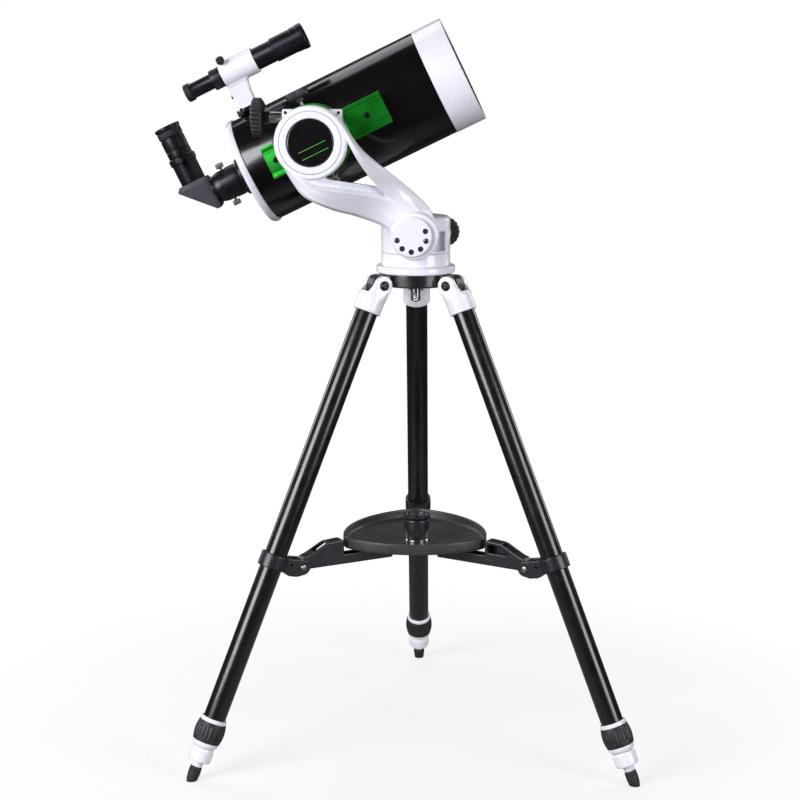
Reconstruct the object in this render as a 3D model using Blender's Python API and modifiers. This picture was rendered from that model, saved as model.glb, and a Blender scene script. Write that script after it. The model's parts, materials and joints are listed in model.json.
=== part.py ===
"""A 127 mm Maksutov telescope on a one-armed alt-azimuth mount and a folding steel tripod.

Metres, +Z up, floor at z = 0. Every sub-part hangs from an empty that marks the axis it turns about or
the line it slides along, so the model is laid out as the object comes apart on a bench.
"""

import math

import bmesh
import bpy
from mathutils import Vector

MM = 0.001
GAP = 0.3 * MM

# Where the azimuth axis stands, measured from the middle of the footprint.
STAND_X = 27.6 * MM
STAND_Y = -81.0 * MM

# Tripod. The leg azimuths are 120 degrees apart and the rear leg points away from the viewer.
LEG_SIDES = {"rear": 90.0, "left": 210.0, "right": 330.0}
LEG_YAW = math.radians(-1.1)
LEG_TILT = math.radians(23.46)
HINGE_R = 57.3 * MM
HINGE_Z = 648.5 * MM
LEG_AXIS_X = 2.0 * MM
LEG_REACH = (HINGE_Z + LEG_AXIS_X * math.sin(LEG_TILT)) / math.cos(LEG_TILT)
LEG_TUBE_R = 15.0 * MM
LEG_WALL = 1.6 * MM
FOOT_LENGTH = 88.9 * MM
SOCKET_R = 18.5 * MM
SOCKET_END = -39.5 * MM
SHOULDER = -13.8 * MM
EAR_R = 12.5 * MM
EAR_IN = 10.4 * MM
EAR_OUT = 18.0 * MM
PIN_R = 3.4 * MM
INNER_LEG_R = 12.5 * MM
INNER_LEG_TOP = -130.0 * MM

# Spreader and tray.
CLAMP_Z = -395.6 * MM
CLAMP_HALF = 9.5 * MM
CLAMP_R = 19.0 * MM
SPREAD_X = -38.2 * MM
SPREAD_Z = -390.9 * MM
ARM_HALF = 9.0 * MM
ARM_INNER = -137.9 * MM
SPREAD_PIN_R = 2.8 * MM
TRAY_Z = 289.8 * MM
TRAY_H = 15.4 * MM
TRAY_WALL = 2.4 * MM
TRAY_CORNER = 84.0 * MM
TRAY_CORNER_R = 25.0 * MM
TRAY_SIDE = 91.0 * MM

# Hub, base and azimuth head.
HUB_R = 44.5 * MM
HUB_Z = 644.7 * MM
HUB_TOP = 662.5 * MM
FLANGE_R = 53.3 * MM
FLANGE_TOP = 672.6 * MM
DRUM_R = 46.5 * MM
SEAM_Z = 690.0 * MM
HEAD_TOP = 738.5 * MM
AXLE_R = 12.0 * MM
CENTRE_BOLT_R = 6.6 * MM
HEAD_YAW = math.radians(-2.6)
WORM_X = 37.3 * MM
WORM_Z = 712.0 * MM

# Arm. x and z are measured in the head's own frame, and -y faces the arm's side.
PIVOT_X = -1.5 * MM
PIVOT_Z = 717.5 * MM
HUB_FRONT = -80.0 * MM
HUB_BACK = -52.5 * MM
ARM_HUB_R = 31.0 * MM
ALT_X = -128.0 * MM
ALT_Z = 841.0 * MM
RING_FRONT = -137.0 * MM
RING_BACK = -110.3 * MM
RING_R = 47.0 * MM
CAP_R = 39.7 * MM
BADGE_R = 30.0 * MM
DISC_R = 48.5 * MM
HOUSING_HALF = 38.2 * MM
HOUSING_TOP = 41.4 * MM
ALT_WORM_Z = 31.0 * MM
ALT_WORM_Y = -100.6 * MM
TILT_HOLE_STEP = 38.0
TILT_HOLE_FIRST = 193.0

# Optical tube. Axial places are measured from the altitude axis, + towards the sky.
TUBE_ELEVATION = math.radians(25.87)
TUBE_Y = 12.0 * MM
TUBE_R = 72.0 * MM
TUBE_FRONT = 211.0 * MM
RING_REAR = 169.0 * MM
TUBE_REAR = -97.7 * MM
CELL_REAR = -107.7 * MM
DOVETAIL_FRONT = 102.0 * MM
DOVETAIL_REAR = -70.0 * MM
DOVETAIL_HALF = 22.0 * MM
BARREL_R = 15.85 * MM
EYEPIECE_A = -182.5 * MM
FINDER_N = 131.6 * MM
FINDER_MID = -58.3 * MM

PARTS = None
CUTTERS = None
MATERIALS = {}
COLOURS = {
    "white_paint": ((0.80, 0.80, 0.84), 0.32, 0.0),
    "gloss_black": ((0.012, 0.011, 0.012), 0.12, 0.0),
    "satin_black": ((0.022, 0.021, 0.024), 0.42, 0.0),
    "black_anodised": ((0.018, 0.018, 0.021), 0.30, 0.6),
    "green_anodised": ((0.02, 0.36, 0.05), 0.28, 0.7),
    "chrome": ((0.78, 0.78, 0.80), 0.10, 1.0),
    "black_rubber": ((0.015, 0.015, 0.016), 0.75, 0.0),
    "lens_glass": ((0.75, 0.82, 0.86), 0.02, 0.0),
    "mirror_coat": ((0.92, 0.92, 0.93), 0.03, 1.0),
    "steel_grey": ((0.50, 0.50, 0.52), 0.25, 1.0),
}


# ---------------------------------------------------------------- helpers


def clear_scene():
    for obj in list(bpy.data.objects):
        bpy.data.objects.remove(obj, do_unlink=True)


def make_collections():
    global PARTS, CUTTERS
    PARTS = bpy.data.collections.new("maksutov_telescope")
    CUTTERS = bpy.data.collections.new("cutters")
    for collection in (PARTS, CUTTERS):
        bpy.context.scene.collection.children.link(collection)


def material(name):
    if name not in MATERIALS:
        colour, roughness, metallic = COLOURS[name]
        made = bpy.data.materials.new(name)
        made.use_nodes = True
        shader = made.node_tree.nodes["Principled BSDF"]
        shader.inputs["Base Color"].default_value = (*colour, 1.0)
        shader.inputs["Roughness"].default_value = roughness
        shader.inputs["Metallic"].default_value = metallic
        made.diffuse_color = (*colour, 1.0)
        MATERIALS[name] = made
    return MATERIALS[name]


def empty(name, parent=None, location=(0, 0, 0), rotation=(0, 0, 0)):
    frame = bpy.data.objects.new(name, None)
    PARTS.objects.link(frame)
    frame.parent = parent
    frame.location = location
    frame.rotation_euler = rotation
    frame.empty_display_size = 0.02
    return frame


def place(name, data, parent, location, rotation, finish):
    """Links a new object: a part when it has a finish, and otherwise a cutter."""
    obj = bpy.data.objects.new(name, data)
    (PARTS if finish else CUTTERS).objects.link(obj)
    obj.parent = parent
    obj.location = location
    obj.rotation_euler = rotation
    if finish:
        obj.data.materials.append(material(finish))
    else:
        obj.hide_render = True
        obj.display_type = "WIRE"
    return obj


def smooth(mesh):
    mesh.shade_smooth()
    mesh.set_sharp_from_angle(angle=math.radians(35))


def turned(name, profile, parent, finish=None, steps=24, ring=False, location=(0, 0, 0), rotation=(0, 0, 0)):
    """Turns (radius, height) points about local Z. They run down the outer side, top to bottom."""
    mesh = bpy.data.meshes.new(name)
    edges = [(i, i + 1) for i in range(len(profile) - 1)]
    if ring:
        edges.append((len(profile) - 1, 0))
    mesh.from_pydata([(r, 0, z) for r, z in profile], edges, [])
    obj = place(name, mesh, parent, location, rotation, finish)
    screw = obj.modifiers.new("Screw", "SCREW")
    screw.steps = steps
    screw.render_steps = steps
    screw.use_merge_vertices = True
    screw.merge_threshold = 0.00001
    return obj


def cylinder(name, radius, low, high, parent, finish=None, steps=20, location=(0, 0, 0), rotation=(0, 0, 0)):
    profile = [(0, high), (radius, high), (radius, low), (0, low)]
    return turned(name, profile, parent, finish, steps, False, location, rotation)


def box(name, low, high, parent, finish=None, location=(0, 0, 0), rotation=(0, 0, 0)):
    low, high = Vector(low), Vector(high)
    mesh = bpy.data.meshes.new(name)
    cage = bmesh.new()
    bmesh.ops.create_cube(cage, size=1.0)
    bmesh.ops.scale(cage, vec=high - low, verts=cage.verts)
    bmesh.ops.translate(cage, vec=(low + high) / 2, verts=cage.verts)
    cage.to_mesh(mesh)
    cage.free()
    return place(name, mesh, parent, location, rotation, finish)


def plate(name, outline, low, high, parent, finish=None, location=(0, 0, 0), rotation=(0, 0, 0)):
    """A flat outline in local XY, filling local Z from low to high, as a mesh."""
    curve = bpy.data.curves.new(name, "CURVE")
    curve.dimensions = "2D"
    curve.fill_mode = "BOTH"
    curve.extrude = (high - low) / 2
    spline = curve.splines.new("POLY")
    spline.points.add(len(outline) - 1)
    for point, (x, y) in zip(spline.points, outline):
        point.co = (x, y, 0, 1)
    spline.use_cyclic_u = True
    guide = bpy.data.objects.new(name + "_outline", curve)
    CUTTERS.objects.link(guide)
    bpy.context.view_layer.update()
    graph = bpy.context.evaluated_depsgraph_get()
    mesh = bpy.data.meshes.new_from_object(guide.evaluated_get(graph))
    bpy.data.objects.remove(guide, do_unlink=True)
    cage = bmesh.new()
    cage.from_mesh(mesh)
    bmesh.ops.remove_doubles(cage, verts=cage.verts, dist=0.000001)
    bmesh.ops.translate(cage, vec=(0, 0, (low + high) / 2), verts=cage.verts)
    bmesh.ops.recalc_face_normals(cage, faces=cage.faces)
    cage.to_mesh(mesh)
    cage.free()
    mesh.materials.clear()
    return place(name, mesh, parent, location, rotation, finish)


def loft(name, sections, parent, finish=None, location=(0, 0, 0)):
    """Joins loops of equal length with quads and closes both ends."""
    mesh = bpy.data.meshes.new(name)
    cage = bmesh.new()
    loops = [[cage.verts.new(p) for p in section] for section in sections]
    count = len(loops[0])
    for one, two in zip(loops, loops[1:]):
        for i in range(count):
            j = (i + 1) % count
            cage.faces.new((one[i], one[j], two[j], two[i]))
    cage.faces.new(loops[0])
    cage.faces.new(loops[-1])
    bmesh.ops.recalc_face_normals(cage, faces=cage.faces)
    cage.to_mesh(mesh)
    cage.free()
    return place(name, mesh, parent, location, (0, 0, 0), finish)


def boolean(obj, tool, operation):
    modifier = obj.modifiers.new(tool.name, "BOOLEAN")
    modifier.operation = operation
    modifier.object = tool


def join(obj, *tools):
    for tool in tools:
        boolean(obj, tool, "UNION")


def cut(obj, *tools):
    for tool in tools:
        boolean(obj, tool, "DIFFERENCE")


def arc(centre, radius, first, last, steps):
    """Points on a circle from one angle to another, in degrees."""
    turns = [math.radians(first + (last - first) * i / steps) for i in range(steps + 1)]
    return [(centre[0] + radius * math.cos(t), centre[1] + radius * math.sin(t)) for t in turns]


# Turns that lay a local axis along another one.
UPRIGHT = (math.pi / 2, 0, 0)  # plate: local XY becomes XZ, thickness runs along -Y
ALONG_Y = (-math.pi / 2, 0, 0)  # turned piece: height runs along +Y
ALONG_X = (0, math.pi / 2, 0)  # turned piece: height runs along +X
ACROSS_X = (math.pi / 2, 0, math.pi / 2)  # plate: local XY becomes YZ, thickness runs along +X


# ---------------------------------------------------------------- tripod


def tripod_hub(stand, planes):
    profile = [(HUB_R, HUB_TOP), (HUB_R, HUB_Z), (CENTRE_BOLT_R + GAP, HUB_Z), (CENTRE_BOLT_R + GAP, HUB_TOP)]
    hub = turned("tripod_hub", profile, stand, "satin_black", 30, ring=True)
    lug_r = 13.4 * MM
    base = 13.3 * MM
    slope = (math.cos(LEG_TILT), math.sin(LEG_TILT))
    foot = (HINGE_R + base * slope[1], HINGE_Z - base * slope[0])
    for side, plane in planes.items():
        outline = [(25 * MM, HUB_TOP - 0.4 * MM)]
        outline += arc((HINGE_R, HINGE_Z), lug_r, 90, 0, 6)
        outline.append((foot[0] + 9.4 * MM * slope[0], foot[1] + 9.4 * MM * slope[1]))
        outline += arc((HINGE_R, HINGE_Z), base, -66.5, -150, 5)
        outline.append((40 * MM, HUB_Z + 0.4 * MM))
        outline.append((25 * MM, HUB_Z + 0.4 * MM))
        lug = plate("lug_" + side, outline, -10 * MM, 10 * MM, plane, rotation=UPRIGHT)
        hole = cylinder("lug_hole_" + side, PIN_R + GAP, -12 * MM, 12 * MM, plane, None, 12,
                        (HINGE_R, 0, HINGE_Z), ALONG_Y)
        join(hub, lug)
        cut(hub, hole)
    return hub


def centre_bolt(stand):
    axis = empty("centre_bolt_axis", stand, (0, 0, 628 * MM))
    r = CENTRE_BOLT_R
    profile = [(0, 47 * MM), (r - 1 * MM, 47 * MM), (r, 46 * MM), (r, -4 * MM), (r - 1 * MM, -5 * MM), (0, -5 * MM)]
    bolt = turned("centre_bolt", profile, axis, "chrome", 14)
    bar = cylinder("tommy_bar", 1.8 * MM, -12 * MM, 28 * MM, axis, None, 10, (0, 0, 0), (math.pi / 2, 0, 0))
    ball_profile = [(3.1 * MM * math.sin(math.pi * i / 6), 3.1 * MM * math.cos(math.pi * i / 6)) for i in range(7)]
    ball_profile[0] = (0, 3.1 * MM)
    ball_profile[-1] = (0, -3.1 * MM)
    ball = turned("tommy_ball", ball_profile, axis, None, 10, False, (0, -28 * MM, 0))
    join(bolt, bar, ball)


def leg(side, frame):
    """The parts that fold with one leg. The frame's Z runs up the leg and its X points outward."""
    on_axis = (LEG_AXIS_X, 0, 0)
    bore = LEG_TUBE_R + GAP
    profile = [(0, SHOULDER), (SOCKET_R, SHOULDER), (SOCKET_R, SOCKET_END + 0.8 * MM),
               (SOCKET_R - 0.8 * MM, SOCKET_END), (bore, SOCKET_END), (bore, -19.5 * MM), (0, -19.5 * MM)]
    socket = turned("leg_socket_" + side, profile, frame, "white_paint", 16, False, on_axis)
    for end in (-1, 1):
        outline = arc((0, 0), EAR_R, 0, 180, 6) + [(-EAR_R, -17 * MM), (EAR_R, -17 * MM)]
        low, high = sorted((end * EAR_IN, end * EAR_OUT))
        join(socket, plate(f"ear_{side}_{end + 1}", outline, low, high, frame, rotation=UPRIGHT))
    cut(socket, cylinder("ear_hole_" + side, PIN_R + GAP, -25 * MM, 25 * MM, frame, None, 10, rotation=ALONG_Y))

    # The bolt's head is on the side that faces the viewer.
    facing = ALONG_Y if side != "right" else UPRIGHT
    profile = [(0, 22.2), (5.75, 22.2), (5.75, 18.3), (PIN_R / MM, 18.3), (PIN_R / MM, -18.3), (5.2, -18.3),
               (5.2, -22.2), (0, -22.2)]
    turned("hinge_bolt_" + side, [(r * MM, z * MM) for r, z in profile], frame, "satin_black", 12, rotation=facing)

    inner = LEG_TUBE_R - LEG_WALL
    lock_top = -(LEG_REACH - FOOT_LENGTH)
    tube_end = lock_top - 26 * MM
    profile = [(LEG_TUBE_R, -20 * MM), (LEG_TUBE_R, tube_end), (inner, tube_end), (inner, -20 * MM)]
    turned("leg_tube_" + side, profile, frame, "gloss_black", 16, True, on_axis)
    twist_lock(side, frame, lock_top)
    inner_leg(side, frame, lock_top)
    spreader_clamp(side, frame)


def twist_lock(side, frame, top):
    """White ring, black barrel grip and white lower ring, turned as one collar."""
    axis = empty("twist_lock_axis_" + side, frame, (LEG_AXIS_X, 0, top))
    tube_bore = LEG_TUBE_R + GAP
    rod_bore = INNER_LEG_R + 0.45 * MM
    profile = [(17.3, 0), (17.9, -5.2), (20.5, -20), (17.9, -32.7), (17.6, -35.5), (14.4, -40.7)]
    points = [(r * MM, z * MM) for r, z in profile]
    points += [(rod_bore, -40.7 * MM), (rod_bore, -27 * MM), (tube_bore, -27 * MM), (tube_bore, 0)]
    turned("twist_lock_" + side, points, axis, "satin_black", 16, True)


def inner_leg(side, frame, lock_top):
    """The sliding lower leg with its white end piece, and the rubber tip it stands on."""
    axis = empty("inner_leg_axis_" + side, frame, (LEG_AXIS_X, 0, 0))
    start = lock_top - 41.2 * MM
    steps = [(14.4, 0), (15.6, -3.5), (15.6, -17.5), (14.6, -19.5), (7.7, -19.5), (6.4, -23.8)]
    bore = INNER_LEG_R - LEG_WALL
    profile = [(bore, INNER_LEG_TOP), (INNER_LEG_R, INNER_LEG_TOP), (INNER_LEG_R, start)]
    profile += [(r * MM, start + z * MM) for r, z in steps]
    profile += [(0, start - 23.8 * MM), (0, start - 12 * MM), (bore, start - 12 * MM)]
    turned("leg_foot_" + side, profile + [profile[0]], axis, "white_paint", 16)

    tip_top = start - 24.1 * MM
    steps = [(0, 0), (8.3, 0), (7.4, -19), (6.2, -25), (4.0, -28.5), (0, -30)]
    profile = [(r * MM, tip_top + z * MM) for r, z in steps]
    tip = turned("rubber_tip_" + side, profile, axis, "black_rubber", 14)
    floor = box("floor_" + side, (-0.6, -0.6, -0.1), (0.6, 0.6, 0), None)
    cut(tip, floor)


def spreader_clamp(side, frame):
    profile = [(CLAMP_R, CLAMP_HALF), (CLAMP_R, -CLAMP_HALF), (LEG_TUBE_R + GAP, -CLAMP_HALF),
               (LEG_TUBE_R + GAP, CLAMP_HALF)]
    clamp = turned("spreader_clamp_" + side, profile, frame, "satin_black", 16, True, (LEG_AXIS_X, 0, CLAMP_Z))
    band_x = -10.5 * MM
    ear_r = 10.5 * MM
    outline = [(band_x, CLAMP_Z + CLAMP_HALF - 0.3 * MM)]
    outline += arc((SPREAD_X, SPREAD_Z), ear_r, 95, 255, 6)
    outline.append((band_x, CLAMP_Z - CLAMP_HALF + 0.3 * MM))
    for end in (-1, 1):
        low, high = sorted((end * (ARM_HALF + 0.4 * MM), end * (ARM_HALF + 3.6 * MM)))
        join(clamp, plate(f"clamp_ear_{side}_{end + 1}", outline, low, high, frame, rotation=UPRIGHT))
    pin_half = ARM_HALF + 5.2 * MM
    join(clamp, cylinder("clamp_pin_" + side, SPREAD_PIN_R, -pin_half, pin_half, frame, None, 12,
                         (SPREAD_X, 0, SPREAD_Z), ALONG_Y))


def spreader_arm(side, frame):
    """A channel arm that rises beside the tray's corner and runs on under the tray."""
    pivot = empty("spreader_pivot_" + side, frame, (SPREAD_X, 0, SPREAD_Z), (0, LEG_TILT, 0))
    outline = arc((0, 0), 9.2 * MM, -153, 90, 9)
    outline += [(x * MM, z * MM) for x, z in ((-4, 12.6), (-11, 14.8), (-37, 28.3), (-57, 29.8), (-62.9, 29.8),
                                              (-62.9, 9.3))]
    outline += [(ARM_INNER, 9.3 * MM), (ARM_INNER, -4.2 * MM)]
    arm = plate("spreader_arm_" + side, outline, -ARM_HALF, ARM_HALF, pivot, "satin_black", rotation=UPRIGHT)
    window = [(x * MM, z * MM) for x, z in ((-58.5, 25.3), (-58.5, 13.2), (-19, 13.2), (-40, 24.4))]
    cut(arm,
        plate("arm_window_" + side, window, -20 * MM, 20 * MM, pivot, rotation=UPRIGHT),
        box("arm_channel_" + side, (ARM_INNER + 6 * MM, -6 * MM, -1.2 * MM), (-12 * MM, 6 * MM, 50 * MM), pivot),
        cylinder("arm_hole_" + side, SPREAD_PIN_R + GAP, -20 * MM, 20 * MM, pivot, None, 12, rotation=ALONG_Y))


def tray_outline(inset):
    """Three round corners over the arms, joined by bowed sides that meet them tangentially."""
    corner_r = TRAY_CORNER_R - inset
    side = TRAY_SIDE - inset
    # The side arc's centre lies beyond the middle by reach, on the far side of the tray.
    c = TRAY_CORNER
    reach = ((side - corner_r) ** 2 - c * c) / (2 * (c * math.cos(math.pi / 3) - (side - corner_r)))
    radius = side + reach
    points = []
    for turn in (90.0, 210.0, 330.0):
        start = math.radians(turn)
        corner = (c * math.cos(start), c * math.sin(start))
        middle = math.radians(turn + 60)
        centre = (-reach * math.cos(middle), -reach * math.sin(middle))
        bend = math.degrees(math.atan2(corner[1] - centre[1], corner[0] - centre[0]))
        half = (turn + 60 - bend + 180) % 360 - 180
        points += arc(corner, corner_r, turn - (60 - half), turn + (60 - half), 5)[:-1]
        points += arc(centre, radius, bend, bend + 2 * half, 6)[:-1]
    return points


def tray(stand):
    axis = empty("tray_axis", stand, (0, 0, TRAY_Z), (0, 0, LEG_YAW))
    dish = plate("accessory_tray", tray_outline(0), 0, TRAY_H, axis, "satin_black")
    cut(dish, plate("tray_hollow", tray_outline(TRAY_WALL), TRAY_WALL, TRAY_H + 5 * MM, axis))
    join(dish, cylinder("tray_boss", 16 * MM, -17.8 * MM, 1 * MM, axis, None, 20))

    holder = empty("spare_eyepiece_axis", stand, (2 * MM, -35 * MM, TRAY_Z + TRAY_WALL + GAP))
    profile = [(0, 40), (14, 40), (14.6, 41), (19, 41), (19, 37), (16.9, 34), (16.9, 20.6), (15.85, 20.2),
               (15.85, 0), (0, 0)]
    turned("spare_eyepiece", [(r * MM, z * MM) for r, z in profile], holder, "black_anodised", 18)


# ---------------------------------------------------------------- mount


def mount_base(stand):
    bore = CENTRE_BOLT_R + GAP
    bottom = HUB_TOP + GAP
    profile = [(0, 716 * MM), (AXLE_R, 716 * MM), (AXLE_R, SEAM_Z - GAP), (DRUM_R, SEAM_Z - GAP), (DRUM_R, FLANGE_TOP),
               (FLANGE_R, FLANGE_TOP), (FLANGE_R, bottom), (bore, bottom), (bore, 681 * MM), (0, 681 * MM)]
    turned("mount_base", profile, stand, "white_paint", 32)


def azimuth_head(head):
    bore = AXLE_R + GAP
    chamfer = 2.5 * MM
    profile = [(0, HEAD_TOP + 2 * MM), (DRUM_R - 10 * MM, HEAD_TOP + 1.5 * MM), (DRUM_R - chamfer, HEAD_TOP),
               (DRUM_R, HEAD_TOP - chamfer), (DRUM_R, SEAM_Z), (bore, SEAM_Z), (bore, 717 * MM), (0, 717 * MM)]
    body = turned("azimuth_head", profile, head, "white_paint", 32)
    boss = cylinder("arm_boss", 24 * MM, 20 * MM, -HUB_BACK - GAP, head, None, 24, (PIVOT_X, 0, PIVOT_Z),
                    (math.pi / 2, 0, 0))
    axle = cylinder("arm_axle", AXLE_R, 40 * MM, 74 * MM, head, None, 20, (PIVOT_X, 0, PIVOT_Z),
                    (math.pi / 2, 0, 0))
    worm = cylinder("worm_housing", 9.4 * MM, -14 * MM, 44 * MM, head, None, 20, (WORM_X, 0, WORM_Z), ALONG_Y)
    join(body, boss, axle, worm)
    cut(body,
        box("head_recess", (26 * MM, -60 * MM, 693.4 * MM), (40 * MM, -16 * MM, 720 * MM), head),
        cylinder("worm_hole", 5.2 * MM, 26 * MM, 50 * MM, head, None, 12, (WORM_X, 0, WORM_Z), ALONG_Y))

    axis = empty("azimuth_knob_axis", head, (WORM_X, 0, WORM_Z), ALONG_Y)
    profile = [(0, 64), (18.5, 64), (20.5, 62), (20.5, 52), (18.5, 50), (4.8, 50), (4.8, 28), (0, 28)]
    turned("azimuth_knob", [(r * MM, z * MM) for r, z in profile], axis, "satin_black", 20)


def lean(distance):
    """How far a point of the arm has moved from the hub's plane out to the ring's, 0 to 1."""
    t = min(max((distance - 40 * MM) / (104 * MM), 0), 1)
    return t * t * (3 - 2 * t)


def arm_section(station, half, front_in, back_in, across):
    """An eight-sided section of the arm, square to the branch's own direction."""
    x, z = station
    share = lean(math.hypot(x - PIVOT_X, z - PIVOT_Z))
    front = HUB_FRONT + share * (RING_FRONT - HUB_FRONT) + front_in
    back = HUB_BACK + share * (RING_BACK - HUB_BACK) - back_in
    bevel = 4 * MM
    loop = [(-half, front + bevel), (-half + bevel, front), (half - bevel, front), (half, front + bevel),
            (half, back - bevel), (half - bevel, back), (-half + bevel, back), (-half, back - bevel)]
    return [(x + side * across[0], y, z + side * across[1]) for side, y in loop]


def branch(name, stations, head, front_in):
    """A swept bar through (x, z, half width) stations in millimetres."""
    points = [(x * MM, z * MM) for x, z, _ in stations]
    sections = []
    for i, (station, (_, _, half)) in enumerate(zip(points, stations)):
        before = points[max(i - 1, 0)]
        after = points[min(i + 1, len(points) - 1)]
        length = math.hypot(after[0] - before[0], after[1] - before[1])
        across = (-(after[1] - before[1]) / length, (after[0] - before[0]) / length)
        sections.append(arm_section(station, half * MM, front_in, 1.5 * MM, across))
    return loft(name, sections, head)


def arm(head):
    """The forked casting: a curved lower branch and a straight upper one, from hub to altitude ring."""
    across_y = (math.pi / 2, 0, 0)
    body = cylinder("arm", ARM_HUB_R, -HUB_BACK, -HUB_FRONT, head, "white_paint", 28, (2 * MM, 0, PIVOT_Z),
                    across_y)
    ring = cylinder("arm_ring", RING_R, -RING_BACK, -RING_FRONT, head, None, 36, (ALT_X, 0, ALT_Z), across_y)
    lower = branch("lower_branch", [(-6, 728, 20), (-22, 746, 18.5), (-45, 760.5, 16.5), (-75, 770.5, 17),
                                    (-102, 779, 18), (-124, 793, 20), (-134, 812, 22)], head, 0)
    upper = branch("upper_branch", [(6, 733, 20), (-9, 753, 18), (-30, 779, 15.5), (-52, 806, 11.5),
                                    (-70, 832, 8.5), (-84, 858, 7.5)], head, 2.5 * MM)
    join(body, ring, lower, upper)
    studs = []
    for hole in (0, 4):
        turn = math.radians(TILT_HOLE_FIRST + TILT_HOLE_STEP * hole)
        spot = (PIVOT_X + 19.5 * MM * math.cos(turn), 0, PIVOT_Z + 19.5 * MM * math.sin(turn))
        studs.append(cylinder(f"tilt_bolt_{hole}", 3.2 * MM, 70 * MM, 83.4 * MM, head, None, 10, spot, across_y))
    join(body, *studs)
    cut(body,
        cylinder("ring_bore", CAP_R + GAP, 100 * MM, 150 * MM, head, None, 32, (ALT_X, 0, ALT_Z), across_y),
        cylinder("hub_bore", AXLE_R + GAP, 40 * MM, 75 * MM, head, None, 20, (PIVOT_X, 0, PIVOT_Z), across_y))


def pivot_disc(head):
    across_y = (math.pi / 2, 0, 0)
    back, front = -HUB_FRONT + GAP, -HUB_FRONT + 6.3 * MM
    profile = [(0, front), (25.5 * MM, front), (26.6 * MM, front - 1.2 * MM), (26.6 * MM, back), (0, back)]
    disc = turned("pivot_disc", profile, head, "white_paint", 28, False, (PIVOT_X, 0, PIVOT_Z), across_y)
    for hole in range(6):
        turn = math.radians(TILT_HOLE_FIRST + TILT_HOLE_STEP * hole)
        spot = (PIVOT_X + 19.5 * MM * math.cos(turn), 0, PIVOT_Z + 19.5 * MM * math.sin(turn))
        cut(disc, cylinder(f"disc_hole_{hole}", 3.7 * MM, 75 * MM, 95 * MM, head, None, 8, spot, across_y))


def altitude_head(head):
    """What sits round the altitude axis and stays with the arm."""
    across_y = (math.pi / 2, 0, 0)
    centre = (ALT_X, 0, ALT_Z)
    outline = [(HOUSING_HALF, HOUSING_TOP), (-HOUSING_HALF, HOUSING_TOP)]
    outline += arc((0, 0), HOUSING_HALF, 180, 360, 14)
    housing = plate("altitude_housing", outline, 91 * MM, 110 * MM, head, "white_paint", centre, across_y)
    worm_at = (ALT_X, ALT_WORM_Y, ALT_Z + ALT_WORM_Z)
    cut(housing,
        cylinder("altitude_bore", 14.4 * MM, 80 * MM, 120 * MM, head, None, 20, centre, across_y),
        cylinder("altitude_worm_hole", 5.2 * MM, -50 * MM, -18 * MM, head, None, 12, worm_at, ALONG_X))

    front = 136.4 * MM
    profile = [(0, 132.4 * MM), (BADGE_R + GAP, 132.4 * MM), (BADGE_R + GAP, front), (CAP_R - 0.8 * MM, front),
               (CAP_R, front - 0.8 * MM), (CAP_R, 113 * MM), (0, 113 * MM)]
    turned("altitude_cap", profile, head, "white_paint", 32, False, centre, across_y)
    profile = [(0, 137.6 * MM), (BADGE_R - 1.5 * MM, 137.2 * MM), (BADGE_R, 136.2 * MM), (BADGE_R, 132.8 * MM),
               (0, 132.8 * MM)]
    turned("cap_badge", profile, head, "gloss_black", 32, False, centre, across_y)

    axis = empty("altitude_knob_axis", head, worm_at, (0, -math.pi / 2, 0))
    profile = [(0, 63.4), (7.3, 63.4), (7.3, 38.8), (4.8, 38.8), (4.8, 20), (0, 20)]
    turned("altitude_shaft", [(r * MM, z * MM) for r, z in profile], axis, "chrome", 16)
    profile = [(0, 78.2), (22, 78.2), (24.8, 76), (24.8, 66), (22.5, 63.8), (0, 63.8)]
    turned("altitude_knob", [(r * MM, z * MM) for r, z in profile], axis, "satin_black", 24)


def saddle(axis):
    """The dovetail saddle, which turns with the telescope on the altitude axis."""
    across_y = (math.pi / 2, 0, 0)
    jaws = [(-84, -36), (-84, 36), (-64, 36), (-64, 18.9), (-65, 18.9), (-73.4, 22.5), (-73.4, -22.5), (-65, -18.9),
            (-64, -18.9), (-64, -36)]
    outline = [(y * MM, n * MM) for y, n in jaws]
    body = plate("saddle", outline, -40 * MM, 40 * MM, axis, "satin_black", rotation=ACROSS_X)
    boolean(body, cylinder("saddle_round", 47.5 * MM, 60 * MM, 90 * MM, axis, None, 32, rotation=across_y),
            "INTERSECT")
    cut(body,
        cylinder("saddle_knob_hole", 3.1 * MM, 10 * MM, 40 * MM, axis, None, 12, (5 * MM, -69.6 * MM, 0)),
        cylinder("saddle_screw_hole", 2.5 * MM, -40 * MM, -10 * MM, axis, None, 12, (1 * MM, -69.6 * MM, 0)))

    profile = [(0, 112), (14, 112), (14, 90.4), (DISC_R / MM - 0.8, 90.4), (DISC_R / MM, 89.6), (DISC_R / MM, 84.4),
               (0, 84.4)]
    turned("altitude_disc", [(r * MM, z * MM) for r, z in profile], axis, "green_anodised", 36, rotation=across_y)

    grip = empty("saddle_knob_axis", axis, (5 * MM, -69.6 * MM, 0))
    knob = cylinder("saddle_knob", 2.8 * MM, 24 * MM, 60 * MM, grip, "satin_black", 12)
    outline = arc((9.7 * MM, 0), 5.8 * MM, -90, 90, 5) + arc((-9.7 * MM, 0), 5.8 * MM, 90, 270, 5)
    join(knob, plate("saddle_knob_grip", outline, 57.5 * MM, 69 * MM, grip))

    screw_axis = empty("saddle_screw_axis", axis, (1 * MM, -69.6 * MM, 0))
    screw = cylinder("saddle_screw", 2.2 * MM, -50 * MM, -24 * MM, screw_axis, "chrome", 12)
    join(screw, box("saddle_screw_wing", (-6 * MM, -1.5 * MM, -60 * MM), (6 * MM, 1.5 * MM, -49 * MM), screw_axis))


# ---------------------------------------------------------------- telescope


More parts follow.
